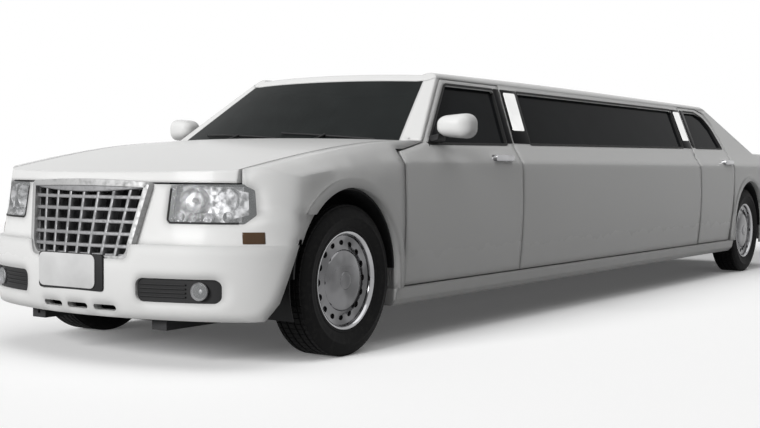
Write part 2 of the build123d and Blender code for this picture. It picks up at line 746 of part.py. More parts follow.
# Front bumper cover: a lower band that stands proud, and the face round grille and lamps
bumper_outer = plan_envelope(bumper_x, bumper_corner_x, nose_corner_y, bumper_side_x, 0.0, 1)
bumper_inner = plan_envelope(bumper_x, bumper_corner_x, nose_corner_y, bumper_side_x, 0.0, 1,
                             bumper_thickness)
chin_rake = -0.34
chin_z = 322.0
chin_offset = chin_rake * (plan_ref_z - chin_z)
chin_outer = plan_envelope(bumper_x, bumper_corner_x, nose_corner_y, bumper_side_x, chin_rake, 1, chin_offset)
chin_inner = plan_envelope(bumper_x, bumper_corner_x, nose_corner_y, bumper_side_x, chin_rake, 1,
                           chin_offset + bumper_thickness)
fog_mid_y = 548.0
fog_half_width = 192.0
fog_low_z = 304.0
fog_high_z = 410.0
fog_depth = 70.0
slot_z = 265.0
slot_width = 130.0
slot_height = 26.0
slot_pitch = 170.0
with BuildPart() as front_bumper:
    add(bumper_outer)
    add(block(front_arch_x, front_axle_x + 1200.0, -arch_lip_y, arch_lip_y, bumper_bottom_z,
              bumper_line_z), mode=Mode.INTERSECT)
    add(chin_outer, mode=Mode.INTERSECT)
    add(nose_outer & block(front_arch_x, front_axle_x + 1200.0, -1200.0, 1200.0, bumper_line_z,
                           front_side_seam_z))
    add(nose_outer & block(wing_front_x, front_axle_x + 1200.0, -1200.0, 1200.0,
                           front_side_seam_z, bonnet_front_z - shut_gap))
    add((bumper_inner & chin_inner) & block(0.0, 9000.0, -1500.0, 1500.0, 0.0, bumper_line_z - 30.0),
        mode=Mode.SUBTRACT)
    add(nose_inner & block(0.0, 9000.0, -1500.0, 1500.0, bumper_line_z - 31.0, 1500.0),
        mode=Mode.SUBTRACT)
    add(grille_opening, mode=Mode.SUBTRACT)
    add(lamp_openings, mode=Mode.SUBTRACT)
    for side in (-1, 1):
        add(block(front_axle_x + 500.0, front_axle_x + 1200.0, min(side * 766.0, side * 1100.0),
                  max(side * 766.0, side * 1100.0), 800.0, 900.0), mode=Mode.SUBTRACT)
    for side in (-1, 1):
        with BuildSketch(Plane.YZ.offset(front_axle_x + 500.0)):
            with Locations((side * fog_mid_y, (fog_low_z + fog_high_z) / 2)):
                RectangleRounded(2 * fog_half_width, fog_high_z - fog_low_z, 34.0)
        extrude(amount=600.0, mode=Mode.SUBTRACT)
    for place in (-1, 0, 1):
        with BuildSketch(Plane.YZ.offset(front_axle_x + 700.0)):
            with Locations((place * slot_pitch, slot_z)):
                SlotOverall(slot_width, slot_height)
        extrude(amount=600.0, mode=Mode.SUBTRACT)
    add(front_arch + mirrored(front_arch), mode=Mode.SUBTRACT)
    add(front_arch_foot + mirrored(front_arch_foot), mode=Mode.SUBTRACT)

# Egg-crate grille: a frame and bars kept to the slant and bow of the nose
with BuildPart() as grille:
    with BuildSketch(Plane.YZ.offset(front_axle_x + 500.0)) as lattice:
        add(outline(Plane.XY, GRILLE, grille_corner))
        with BuildSketch(mode=Mode.SUBTRACT):
            add(outline(Plane.XY, [
                (-grille_bottom_half + grille_frame, grille_bottom_z + grille_frame),
                (grille_bottom_half - grille_frame, grille_bottom_z + grille_frame),
                (grille_top_half - grille_frame, grille_top_z - grille_frame),
                (-grille_top_half + grille_frame, grille_top_z - grille_frame)],
                grille_corner - grille_frame))
        for row in range(1, grille_rows):
            z = grille_bottom_z + (grille_top_z - grille_bottom_z) * row / grille_rows
            half = grille_bottom_half + (grille_top_half - grille_bottom_half) * row / grille_rows
            with Locations((0, z)):
                Rectangle(2 * half - grille_frame, grille_bar)
        for column in range(1, grille_columns):
            share = 2 * column / grille_columns - 1
            low_y = share * grille_bottom_half
            high_y = share * grille_top_half
            with BuildLine():
                Polyline((low_y - grille_bar / 2, grille_bottom_z + 6), (low_y + grille_bar / 2,
                         grille_bottom_z + 6), (high_y + grille_bar / 2, grille_top_z - 6),
                         (high_y - grille_bar / 2, grille_top_z - 6), close=True)
            make_face()
    extrude(amount=600.0)
    add(plan_envelope(nose_x, nose_corner_x, nose_corner_y, nose_side_x, nose_rake, 1, -4.0)
        - plan_envelope(nose_x, nose_corner_x, nose_corner_y, nose_side_x, nose_rake, 1,
                        grille_depth - 4.0), mode=Mode.INTERSECT)

# Lamps
with BuildPart() as headlamp:
    add(nose_outer)
    add(lamp_opening, mode=Mode.INTERSECT)
    add(plan_envelope(nose_x, nose_corner_x, nose_corner_y, nose_side_x, nose_rake, 1, lamp_depth),
        mode=Mode.SUBTRACT)
with BuildPart() as headlamps:
    add(both_sides(headlamp.part))

with BuildPart() as fog_lamp:
    with BuildSketch(Plane.YZ.offset(front_axle_x + 500.0)):
        with Locations((fog_mid_y, (fog_low_z + fog_high_z) / 2)):
            RectangleRounded(2 * fog_half_width, fog_high_z - fog_low_z, 34.0)
    extrude(amount=600.0)
    add(plan_envelope(bumper_x, bumper_corner_x, nose_corner_y, bumper_side_x, 0.0, 1, 14.0)
        - plan_envelope(bumper_x, bumper_corner_x, nose_corner_y, bumper_side_x, 0.0, 1, fog_depth),
        mode=Mode.INTERSECT)
with BuildPart() as fog_lamps:
    add(both_sides(fog_lamp.part))

# Radiator behind the grille
with BuildPart() as radiator:
    add(block(front_axle_x + 640.0, front_axle_x + 690.0, -350.0, 350.0, 300.0, 800.0))
    add(block(front_axle_x + 620.0, front_axle_x + 690.0, -420.0, 420.0,
              frame_rail_z + frame_rail_height, 300.0))

# Tail: quarter panels with the rear roof pillars, boot lid, bumper and lamps
TAIL_LAMP = [
    (560.0, 664.0), (900.0, 664.0), (900.0, 930.0), (560.0, 930.0),
]
tail_shell = tail_outer - tail_inner
tail_lamp_opening = front_prism(TAIL_LAMP, rear_axle_x - 1300.0, rear_axle_x - 800.0, 20.0)
QUARTER_FRONT = [
    (rear_door_trail - shut_gap, rear_side_seam_z - 500.0),
    (rear_door_trail - shut_gap, 1150.0),
    (rear_axle_x + 482.0 - frame_gap, 1284.0),
    (rear_axle_x + 568.0 - frame_gap, 1376.0),
    (rear_axle_x + 722.0 - frame_gap, door_top_z + shut_gap),
    (rear_axle_x + 722.0 - frame_gap, 1500.0),
    (rear_axle_x - 1500.0, 1500.0),
    (rear_axle_x - 1500.0, rear_side_seam_z - 500.0),
]
with BuildPart() as quarter_panel:
    add(tail_shell)
    add(block(rear_axle_x - 1500.0, rear_axle_x + 800.0, lid_half_width + shut_gap, 1000.0,
              100.0, 1300.0), mode=Mode.INTERSECT)
    add((cabin_wall & ahead_of_rear_light) & block(rear_axle_x - 700.0, rear_axle_x + 900.0,
                                                   0.0, 1100.0, belt_z - 30.0, 1600.0))
    add(side_prism(QUARTER_FRONT, 500.0, 1100.0), mode=Mode.INTERSECT)
    add(arch_lip(rear_axle_x, rear_arch_z, rear_arch_radius, sill_top_z))
    add(rear_arch, mode=Mode.SUBTRACT)
    add(rear_arch_foot, mode=Mode.SUBTRACT)
    add(block(rear_axle_x - 1500.0, rear_axle_x - rear_arch_radius + 60.0, 500.0, 1100.0, 0.0,
              rear_side_seam_z), mode=Mode.SUBTRACT)
    add(tail_lamp_opening, mode=Mode.SUBTRACT)
    add(block(rear_axle_x - 1500.0, rear_axle_x - 880.0, 500.0, 700.0, 100.0, 1300.0), mode=Mode.SUBTRACT)
    add(cross_cylinder(lid_axis_x, lid_axis_z, lid_pin_radius, lid_pin_y + 1.0, lid_half_width + 60.0))
with BuildPart() as quarter_panels:
    add(both_sides(quarter_panel.part))

with BuildPart() as boot_lid:
    add(tail_shell)
    add(block(rear_axle_x - 1500.0, lid_front_x, -lid_half_width, lid_half_width, lid_bottom_z, 1300.0),
        mode=Mode.INTERSECT)
    add(tail_lamp_opening + mirrored(tail_lamp_opening), mode=Mode.SUBTRACT)
    for side in (-1, 1):
        add(cross_cylinder(lid_axis_x, lid_axis_z, lid_pin_radius + pin_clearance,
                           min(side * lid_pin_y, side * 900.0), max(side * lid_pin_y, side * 900.0)),
            mode=Mode.SUBTRACT)

with BuildPart() as tail_lamp:
    add(tail_outer)
    add(front_prism(TAIL_LAMP, rear_axle_x - 1300.0, rear_axle_x - 800.0, 20.0), mode=Mode.INTERSECT)
    add(plan_envelope(tail_x, tail_corner_x, tail_corner_y, tail_side_x, tail_rake, -1, 90.0),
        mode=Mode.SUBTRACT)
with BuildPart() as tail_lamps:
    add(both_sides(tail_lamp.part))

with BuildPart() as rear_bumper:
    add(plan_envelope(rear_bumper_x, rear_bumper_corner_x, tail_corner_y, rear_bumper_side_x, 0.0, -1))
    add(block(rear_axle_x - 1300.0, rear_axle_x - rear_arch_radius + 60.0, -arch_lip_y + 4.0,
              arch_lip_y - 4.0,
              bumper_bottom_z + 20.0, rear_side_seam_z - 1.0), mode=Mode.INTERSECT)
    add(plan_envelope(rear_bumper_x, rear_bumper_corner_x, tail_corner_y, rear_bumper_side_x, 0.0, -1,
                      bumper_thickness)
        & block(-9000.0, 9000.0, -1500.0, 1500.0, 0.0, rear_side_seam_z - 40.0), mode=Mode.SUBTRACT)
    add(plan_envelope(rear_bumper_x, rear_bumper_corner_x, tail_corner_y, rear_bumper_side_x, 0.0, -1,
                      bumper_ledge)
        & block(-9000.0, 9000.0, -1500.0, 1500.0, 300.0, 900.0), mode=Mode.SUBTRACT)
    add(rear_arch + mirrored(rear_arch), mode=Mode.SUBTRACT)
    add(rear_arch_foot + mirrored(rear_arch_foot), mode=Mode.SUBTRACT)

# Windscreen pillars with the hinge pillars below them
screen_edge_low_y = 772.0
screen_edge_high_y = 606.0
screen_top_z = 1400.0
PILLAR_FRONT = [
    (screen_edge_low_y + 13.0, 985.0), (screen_edge_high_y, screen_top_z),
    (screen_edge_high_y, 1440.0), (1000.0, 1440.0), (1000.0, 985.0),
]
PILLAR_SIDE = [
    (screen_side_x(1044.0, pillar_setback - 12.0), 1044.0),
    (screen_side_x(1424.0, pillar_setback - 12.0), 1424.0),
    (front_axle_x, 1424.0), (front_axle_x, 993.0), (front_door_lead + shut_gap, 993.0),
]
hinge_post_x = front_door_lead + 14.0
with BuildPart() as screen_pillar:
    add(cabin_block.part)
    add(behind_screen, mode=Mode.INTERSECT)
    add(front_prism(PILLAR_FRONT, front_axle_x - 1700.0, front_axle_x), mode=Mode.INTERSECT)
    add(side_prism(PILLAR_SIDE, 500.0, 1100.0), mode=Mode.INTERSECT)
    add(block(front_axle_x - 726.0, front_axle_x - 402.0, 690.0, 800.0, 900.0, 984.0))
    add(block(front_axle_x - 726.0, front_axle_x - 682.0, 758.0, 800.0, 900.0, 1062.0))
    add(block(hinge_post_x, front_axle_x - 402.0, 640.0, side_foot_y - panel_thickness - 4.0,
              sill_top_z, 984.0))
    axis_x, axis_y = hinge_axis(front_door_lead)
    add(post(axis_x, axis_y, hinge_nose_radius + shut_gap, 100.0, 1000.0), mode=Mode.SUBTRACT)
    add(wing.part, mode=Mode.SUBTRACT)
    add(roof_panel.part, mode=Mode.SUBTRACT)
with BuildPart() as screen_pillars:
    add(both_sides(screen_pillar.part))

# Windscreen and rear window
SCREEN = [
    (-screen_edge_low_y, 1018.0), (screen_edge_low_y, 1018.0),
    (screen_edge_high_y, screen_top_z), (-screen_edge_high_y, screen_top_z),
]
with BuildPart() as windscreen:
    add(behind_screen)
    add(slanted_space(screen_base_x, screen_base_z, screen_arc_radius, screen_run, screen_rise, -1,
                      glass_thickness), mode=Mode.SUBTRACT)
    add(front_prism(SCREEN, front_axle_x - 1700.0, front_axle_x), mode=Mode.INTERSECT)
    add(roof_panel.part, mode=Mode.SUBTRACT)
    add(screen_pillars.part, mode=Mode.SUBTRACT)
rear_light_foot_y = 730.0
REAR_LIGHT = [
    (-rear_light_foot_y, 1062.0), (rear_light_foot_y, 1062.0), (596.0, 1412.0), (-596.0, 1412.0),
]
with BuildPart() as rear_window:
    add(ahead_of_rear_light)
    add(slanted_space(rear_light_base_x, rear_light_base_z, rear_light_arc_radius, rear_light_run,
                      rear_light_rise, 1, glass_thickness), mode=Mode.SUBTRACT)
    add(front_prism(REAR_LIGHT, rear_axle_x - 900.0, rear_axle_x + 900.0), mode=Mode.INTERSECT)
    add(roof_panel.part, mode=Mode.SUBTRACT)
    add(quarter_panels.part, mode=Mode.SUBTRACT)

# Cowl, bulkhead and parcel shelf
bulkhead_x = floor_front_x
with BuildPart() as cowl:
    add(slanted_space(screen_base_x, screen_base_z, screen_arc_radius, screen_run, screen_rise, -1, 2.0))
    add(slanted_space(screen_base_x, screen_base_z, screen_arc_radius, screen_run, screen_rise, -1, 52.0),
        mode=Mode.SUBTRACT)
    add(block(front_axle_x - 900.0, front_axle_x, -780.0, 780.0, 950.0, 1018.0), mode=Mode.INTERSECT)
    add(block(front_axle_x - 640.0, floor_front_x, -690.0, 690.0, 936.0, 960.0))
    add(block(bulkhead_x - 24.0, bulkhead_x, -640.0, 640.0, floor_z + floor_thickness, 950.0))
    add(block(bulkhead_x - 30.0, bulkhead_x + 10.0, -tunnel_half, tunnel_half, 0.0,
              floor_z + floor_thickness + tunnel_height), mode=Mode.SUBTRACT)
    add(screen_pillars.part, mode=Mode.SUBTRACT)
    add(windscreen.part, mode=Mode.SUBTRACT)
    add(front_wings.part, mode=Mode.SUBTRACT)
with BuildPart() as parcel_shelf:
    add(tail_shell)
    add(block(lid_front_x + 14.0, rear_axle_x - 200.0, -lid_half_width, lid_half_width, 900.0, 1300.0),
        mode=Mode.INTERSECT)
    add(slanted_space(rear_light_base_x, rear_light_base_z, rear_light_arc_radius, rear_light_run,
                      rear_light_rise, 1, -1.0), mode=Mode.SUBTRACT)
    add(block(lid_front_x + 14.0, rear_axle_x + 60.0, -640.0, 640.0, 980.0, 1004.0))
    add(block(lid_front_x + 14.0, lid_front_x + 50.0, -640.0, 640.0, 980.0, 1048.0))
    add(cross_cylinder(lid_axis_x, lid_axis_z, lid_swing_radius + shut_gap, -lid_half_width, lid_half_width),
        mode=Mode.SUBTRACT)
    add(block(rear_axle_x + 20.0, rear_axle_x + 60.0, -640.0, 640.0, boot_floor_z + floor_thickness, 990.0))
    add(quarter_panels.part, mode=Mode.SUBTRACT)
    add(rear_window.part, mode=Mode.SUBTRACT)

# Door hinges, fixed to the hinge pillars and to the side panels
with BuildPart() as hinge_set:
    add(hinge_leaf(front_door_lead))
    add(screen_pillar.part, mode=Mode.SUBTRACT)
with BuildPart() as rear_hinge_set:
    add(hinge_leaf(rear_door_lead))
    add(side_panel.part, mode=Mode.SUBTRACT)
with BuildPart() as door_hinges:
    add(both_sides(hinge_set.part))
    add(both_sides(rear_hinge_set.part))

# Sills
SILL = [
    (floor_half_width, sill_bottom_z), (884.0, sill_bottom_z), (912.0, 236.0), (926.0, sill_top_z),
    (floor_half_width, sill_top_z),
]
with BuildPart() as sills:
    add(both_sides(front_prism(SILL, rear_axle_x + rear_arch_radius + 2.0,
                               front_arch_x - front_arch_radius - 2.0)))

# Wheel arch liners
def liner(x, z, radius, inner_y, outer_y, low_z):
    """A left wheel arch liner: a half drum with its inner wall."""
    with BuildPart() as shell:
        add(cross_cylinder(x, z, radius, inner_y, outer_y))
        add(cross_cylinder(x, z, radius - liner_thickness, inner_y + liner_thickness, outer_y + 1),
            mode=Mode.SUBTRACT)
        add(block(x - 600.0, x + 600.0, inner_y - 1, outer_y + 1, low_z, 1200.0), mode=Mode.INTERSECT)
        add(block(x - 200.0, x + 200.0, inner_y - 1, inner_y + 60.0, 0.0, 520.0), mode=Mode.SUBTRACT)
    return shell.part


liner_outer_y = side_foot_y - 10.0
with BuildPart() as wheel_liners:
    add(both_sides(liner(front_arch_x, front_arch_z, front_arch_radius - liner_fit, front_well_y,
                         liner_outer_y, 400.0)))
    add(both_sides(liner(rear_axle_x, rear_arch_z, rear_arch_radius - liner_fit, rear_well_y,
                         liner_outer_y, 400.0)))

# Floor pan with a tunnel, and the boot floor
tunnel_block = block(floor_rear_x, floor_front_x - 26.0, -tunnel_half, tunnel_half, floor_z + 1.0,
                     floor_z + floor_thickness + tunnel_height)
# Chassis frame: two rails, crossmembers and the front lower arms
with BuildPart() as chassis_frame:
    for side in (-1, 1):
        y_low = side * frame_rail_y - frame_rail_width / 2
        y_high = side * frame_rail_y + frame_rail_width / 2
        add(block(floor_rear_x, front_axle_x + 760.0, y_low, y_high, frame_rail_z,
                  frame_rail_z + frame_rail_height))
        add(block(rear_axle_x - 900.0, rear_axle_x + 500.0, y_low, y_high, boot_floor_z - 60.0,
                  boot_floor_z))
        add(block(floor_rear_x, rear_axle_x + 540.0, y_low, y_high, frame_rail_z, boot_floor_z))
        arm = [(front_axle_x - arm_root_half, side * 420.0), (front_axle_x + arm_root_half, side * 420.0),
               (front_axle_x + arm_tip_half, side * wheel_y), (front_axle_x - arm_tip_half, side * wheel_y)]
        add(plan_prism(arm, arm_low_z, arm_high_z))
        add(post(front_axle_x, side * wheel_y, arm_tip_half, arm_low_z, arm_high_z))
        add(post(front_axle_x, side * wheel_y, king_pin_radius + pin_clearance, 0.0, arm_high_z + 1),
            mode=Mode.SUBTRACT)
    for x in (front_axle_x + 700.0, front_axle_x - 1500.0, front_axle_x - 2900.0, rear_axle_x + 1600.0):
        add(block(x - 40.0, x + 40.0, -frame_rail_y, frame_rail_y, exhaust_top_z,
                  frame_rail_z + frame_rail_height))
    add(block(front_axle_x - 110.0, front_axle_x + 110.0, -frame_rail_y, frame_rail_y, 186.0, 228.0))
    add(block(rear_axle_x - 900.0, rear_axle_x - 820.0, -frame_rail_y, frame_rail_y, boot_floor_z - 60.0,
              boot_floor_z))
    with BuildSketch(Plane.YZ.offset(front_axle_x + 760.0)):
        with Locations((-frame_rail_y, tow_eye_z)):
            Circle(tow_eye_radius)
    extrude(amount=-tow_eye_depth, mode=Mode.SUBTRACT)

with BuildPart() as floor_pan:
    add(block(floor_rear_x, floor_front_x, -floor_half_width, floor_half_width, floor_z,
              floor_z + floor_thickness))
    add(block(floor_rear_x - floor_thickness, floor_rear_x, -640.0, 640.0, floor_z, boot_floor_z + 1.0))
    add(block(rear_axle_x - 930.0, floor_rear_x, -640.0, 640.0, boot_floor_z,
              boot_floor_z + floor_thickness))
    add(tunnel_block)
    add(block(floor_rear_x - 100.0, floor_front_x + 1.0, -tunnel_half + 24.0, tunnel_half - 24.0,
              floor_z - 1.0, floor_z + tunnel_height), mode=Mode.SUBTRACT)
    add(chassis_frame.part, mode=Mode.SUBTRACT)

# Engine and gearbox as one block
with BuildPart() as engine:
    add(block(front_axle_x - 330.0, front_axle_x + 470.0, -300.0, 300.0, 228.0, 780.0))
    add(block(front_axle_x - 900.0, front_axle_x - 330.0, -110.0, 110.0, 240.0, 348.0))

# Propeller shaft, rear axle and exhaust
shaft_z = 290.0
exhaust_z = 174.0
exhaust_radius = 28.0
with BuildPart() as drive_shaft:
    with BuildSketch(Plane.YZ.offset(rear_axle_x + 130.0)):
        with Locations((0, shaft_z)):
            Circle(38.0)
    extrude(amount=wheelbase - 900.0 - 130.0)

with BuildPart() as rear_axle:
    add(cross_cylinder(rear_axle_x, hub_z, 42.0, -690.0, 690.0))
    add(cross_cylinder(rear_axle_x, hub_z, spindle_radius, -wheel_y - spindle_depth, wheel_y + spindle_depth))
    add(block(rear_axle_x - 140.0, rear_axle_x + 130.0, -150.0, 150.0, 225.0, 400.0))
    for side in (-1, 1):
        add(post(rear_axle_x, side * frame_rail_y, 60.0, hub_z, boot_floor_z - 60.0))

with BuildPart() as exhaust:
    for side in (-1, 1):
        pipe_y = side * 250.0
        box_y = side * 560.0
        with BuildSketch(Plane.YZ.offset(rear_axle_x - 440.0)):
            with Locations((pipe_y, exhaust_z)):
                Circle(exhaust_radius)
        extrude(amount=wheelbase + 440.0 - 250.0)
        add(post(front_axle_x - 285.0, pipe_y, exhaust_radius, exhaust_z, 228.0))
        for x in (front_axle_x - 1500.0, front_axle_x - 2900.0, rear_axle_x + 1600.0):
            add(block(x - 12.0, x + 12.0, pipe_y - 12.0, pipe_y + 12.0, exhaust_z, exhaust_top_z))
        add(block(rear_axle_x - 470.0, rear_axle_x - 400.0, min(side * 222.0, box_y), max(side * 222.0, box_y),
                  exhaust_z - 28.0, exhaust_z + 44.0))
        add(block(rear_axle_x - 830.0, rear_axle_x - 430.0, box_y - 100.0, box_y + 100.0,
                  exhaust_z - 20.0, 300.0))
        add(block(rear_axle_x - 640.0, rear_axle_x - 610.0, min(side * 425.0, side * 470.0),
                  max(side * 425.0, side * 470.0), 290.0, boot_floor_z - 60.0))
        with BuildSketch(Plane.YZ.offset(rear_axle_x - 1020.0)):
            with Locations((box_y, 204.0)):
                Circle(34.0)
                Circle(29.0, mode=Mode.SUBTRACT)
        extrude(amount=195.0)


# Wheels: knuckles, tyres and rims
def knuckle_part():
    """The left steering knuckle with its spindle and the ball joint seat on the lower arm."""
    with BuildPart() as knuckle:
        add(post(front_axle_x, wheel_y, arm_tip_half, arm_high_z + seat_gap, hub_z))
        add(post(front_axle_x, wheel_y, king_pin_radius, arm_low_z, hub_z))
        add(cross_cylinder(front_axle_x, hub_z, 62.0, wheel_y - 60.0, wheel_y + 20.0))
        add(cross_cylinder(front_axle_x, hub_z, spindle_radius, wheel_y - 60.0, wheel_y + spindle_depth))
    return knuckle.part


TYRE = [
    # distance from the middle plane, radius
    (82.0, rim_radius - 8.0 + seat_gap), (112.0, 304.0), (86.0, tyre_radius),
    (-86.0, tyre_radius), (-112.0, 304.0), (-82.0, rim_radius - 8.0 + seat_gap),
]
RIM = [
    # distance from the middle plane, radius
    (92.0, rim_radius), (92.0, 222.0), (60.0, 206.0), (70.0, 120.0), (84.0, 100.0), (84.0, 0.0),
    (40.0, 0.0), (40.0, 190.0), (-92.0, 196.0), (-92.0, rim_radius), (-86.3, rim_radius),
    (-86.3, rim_radius - 8.0), (86.3, rim_radius - 8.0), (86.3, rim_radius),
]


def wheel_ring(x, side, table):
    """A wheel's ring turned about its axle from a table of offsets and radii."""
    with BuildPart() as ring:
        with BuildSketch(Plane.YZ.offset(x)):
            with BuildLine():
                Polyline(*[(side * (wheel_y + offset), hub_z + radius) for offset, radius in table],
                         close=True)
            make_face()
        revolve(axis=Axis((x, 0, hub_z), (0, 1, 0)))
    return ring.part


def rim_part(x, side):
    """A rim with a blind bore that turns on the spindle."""
    with BuildPart() as rim:
        add(wheel_ring(x, side, RIM))
        reach = (wheel_y + 30.0, wheel_y + spindle_depth + 4.0)
        add(cross_cylinder(x, hub_z, spindle_radius + pin_clearance, min(side * reach[0], side * reach[1]),
                           max(side * reach[0], side * reach[1])), mode=Mode.SUBTRACT)
    return rim.part


with BuildPart() as knuckle_left:
    add(knuckle_part())
with BuildPart() as knuckle_right:
    add(mirrored(knuckle_left.part))
with BuildPart() as tyre_front_left:
    add(wheel_ring(front_axle_x, 1, TYRE))
with BuildPart() as tyre_front_right:
    add(wheel_ring(front_axle_x, -1, TYRE))
with BuildPart() as tyre_rear_left:
    add(wheel_ring(rear_axle_x, 1, TYRE))
with BuildPart() as tyre_rear_right:
    add(wheel_ring(rear_axle_x, -1, TYRE))
with BuildPart() as rim_front_left:
    add(rim_part(front_axle_x, 1))
with BuildPart() as rim_front_right:
    add(rim_part(front_axle_x, -1))
with BuildPart() as rim_rear_left:
    add(rim_part(rear_axle_x, 1))
with BuildPart() as rim_rear_right:
    add(rim_part(rear_axle_x, -1))

# Cabin furniture
DASHBOARD = [
    (front_axle_x - 500.0, 620.0), (front_axle_x - 500.0, 910.0), (front_axle_x - 640.0, 930.0),
    (front_axle_x - 860.0, 918.0), (front_axle_x - 900.0, 840.0), (front_axle_x - 800.0, 640.0),
]
with BuildPart() as dashboard:
    add(side_prism(DASHBOARD, -680.0, 680.0))
    add(block(front_axle_x - 505.0, bulkhead_x - 24.0, -600.0, 600.0, 760.0, 860.0))

wheel_tilt = 26.0
wheel_mid = (front_axle_x - 1010.0, 370.0, 850.0)
with BuildPart() as steering_wheel:
    lean = Plane(origin=wheel_mid, x_dir=(0, 1, 0),
                 z_dir=(-cos(radians(wheel_tilt)), 0, sin(radians(wheel_tilt))))
    with BuildSketch(lean):
        Circle(190.0)
        Circle(158.0, mode=Mode.SUBTRACT)
        Rectangle(330.0, 44.0)
        Circle(62.0)
    extrude(amount=26.0)
    with BuildSketch(lean):
        Circle(30.0)
    extrude(amount=-190.0)
    add(dashboard.part, mode=Mode.SUBTRACT)


def seat(x, y_mid, half_width, cushion_length, back_height):
    """A plain cushion and back; the back stands at the rear of the cushion."""
    low = floor_z + floor_thickness
    with BuildPart() as form:
        add(side_prism([(x, low), (x, low + 330.0), (x - cushion_length, low + 290.0),
                        (x - cushion_length, low)], y_mid - half_width, y_mid + half_width))
        add(side_prism([(x - cushion_length + 60.0, low), (x - cushion_length + 60.0, low + 330.0),
                        (x - cushion_length - 110.0, low + back_height),
                        (x - cushion_length - 210.0, low + back_height),
                        (x - cushion_length - 80.0, low)], y_mid - half_width, y_mid + half_width))
    return form.part


with BuildPart() as front_seats:
    add(both_sides(seat(front_axle_x - 1130.0, 400.0, 240.0, 480.0, 800.0)))

partition_x = front_axle_x - 1960.0
with BuildPart() as partition:
    add(block(partition_x - 40.0, partition_x, -780.0, 780.0, floor_z + floor_thickness, 1000.0))
    add(block(partition_x - 40.0, partition_x, -600.0, 600.0, 999.0, 1370.0))
    add(tunnel_block, mode=Mode.SUBTRACT)

low = floor_z + floor_thickness
step_top_z = boot_floor_z + floor_thickness
REAR_BENCH = [
    (rear_axle_x + 760.0, low), (rear_axle_x + 760.0, 590.0), (rear_axle_x + 310.0, 560.0),
    (rear_axle_x + 190.0, 970.0), (rear_axle_x + 80.0, 970.0), (rear_axle_x + 190.0, step_top_z),
    (rear_axle_x + 545.0, step_top_z), (rear_axle_x + 545.0, low),
]
with BuildPart() as cabin_benches:
    add(side_prism(REAR_BENCH, -620.0, 620.0))
    side_bench_rear_x = rear_axle_x + 1300.0
    side_bench_front_x = front_axle_x - 2060.0
    add(block(side_bench_rear_x, side_bench_front_x, -780.0, -300.0, low, low + 320.0))
    add(block(side_bench_rear_x, side_bench_front_x, -780.0, -660.0, low + 319.0, low + 720.0))
    add(tunnel_block, mode=Mode.SUBTRACT)

PIECES = [
    ("front_bumper", front_bumper), ("grille", grille), ("headlamps", headlamps),
    ("fog_lamps", fog_lamps), ("radiator", radiator), ("bonnet", bonnet), ("front_wings", front_wings),
    ("screen_pillars", screen_pillars), ("windscreen", windscreen), ("cowl", cowl),
    ("roof_panel", roof_panel), ("side_panels", side_panels), ("long_windows", long_windows),
    ("sills", sills), ("quarter_panels", quarter_panels), ("rear_window", rear_window),
    ("parcel_shelf", parcel_shelf), ("boot_lid", boot_lid), ("tail_lamps", tail_lamps),
    ("rear_bumper", rear_bumper), ("door_hinges", door_hinges),
    ("front_door_left", front_door_left), ("front_door_right", front_door_right),
    ("rear_door_left", rear_door_left), ("rear_door_right", rear_door_right),
    ("front_glass_left", front_glass_left), ("front_glass_right", front_glass_right),
    ("rear_glass_left", rear_glass_left), ("rear_glass_right", rear_glass_right),
    ("mirror_left", mirror_left), ("mirror_right", mirror_right),
    ("wheel_liners", wheel_liners), ("floor_pan", floor_pan), ("chassis_frame", chassis_frame),
    ("engine", engine), ("drive_shaft", drive_shaft), ("rear_axle", rear_axle), ("exhaust", exhaust),
    ("knuckle_left", knuckle_left), ("knuckle_right", knuckle_right),
    ("tyre_front_left", tyre_front_left), ("tyre_front_right", tyre_front_right),
    ("tyre_rear_left", tyre_rear_left), ("tyre_rear_right", tyre_rear_right),
    ("rim_front_left", rim_front_left), ("rim_front_right", rim_front_right),
    ("rim_rear_left", rim_rear_left), ("rim_rear_right", rim_rear_right),
    ("dashboard", dashboard), ("steering_wheel", steering_wheel), ("front_seats", front_seats),
    ("partition", partition), ("cabin_benches", cabin_benches),
]
for label, piece in PIECES:
    piece.part.label = label
    export_step(piece.part, f"parts/{label}.step")
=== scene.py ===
"""Stretch limousine: finishes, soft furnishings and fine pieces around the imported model."""
import math

import bmesh
import bpy
from bpy.props import FloatProperty, FloatVectorProperty, IntProperty, PointerProperty
from mathutils import Matrix, Vector


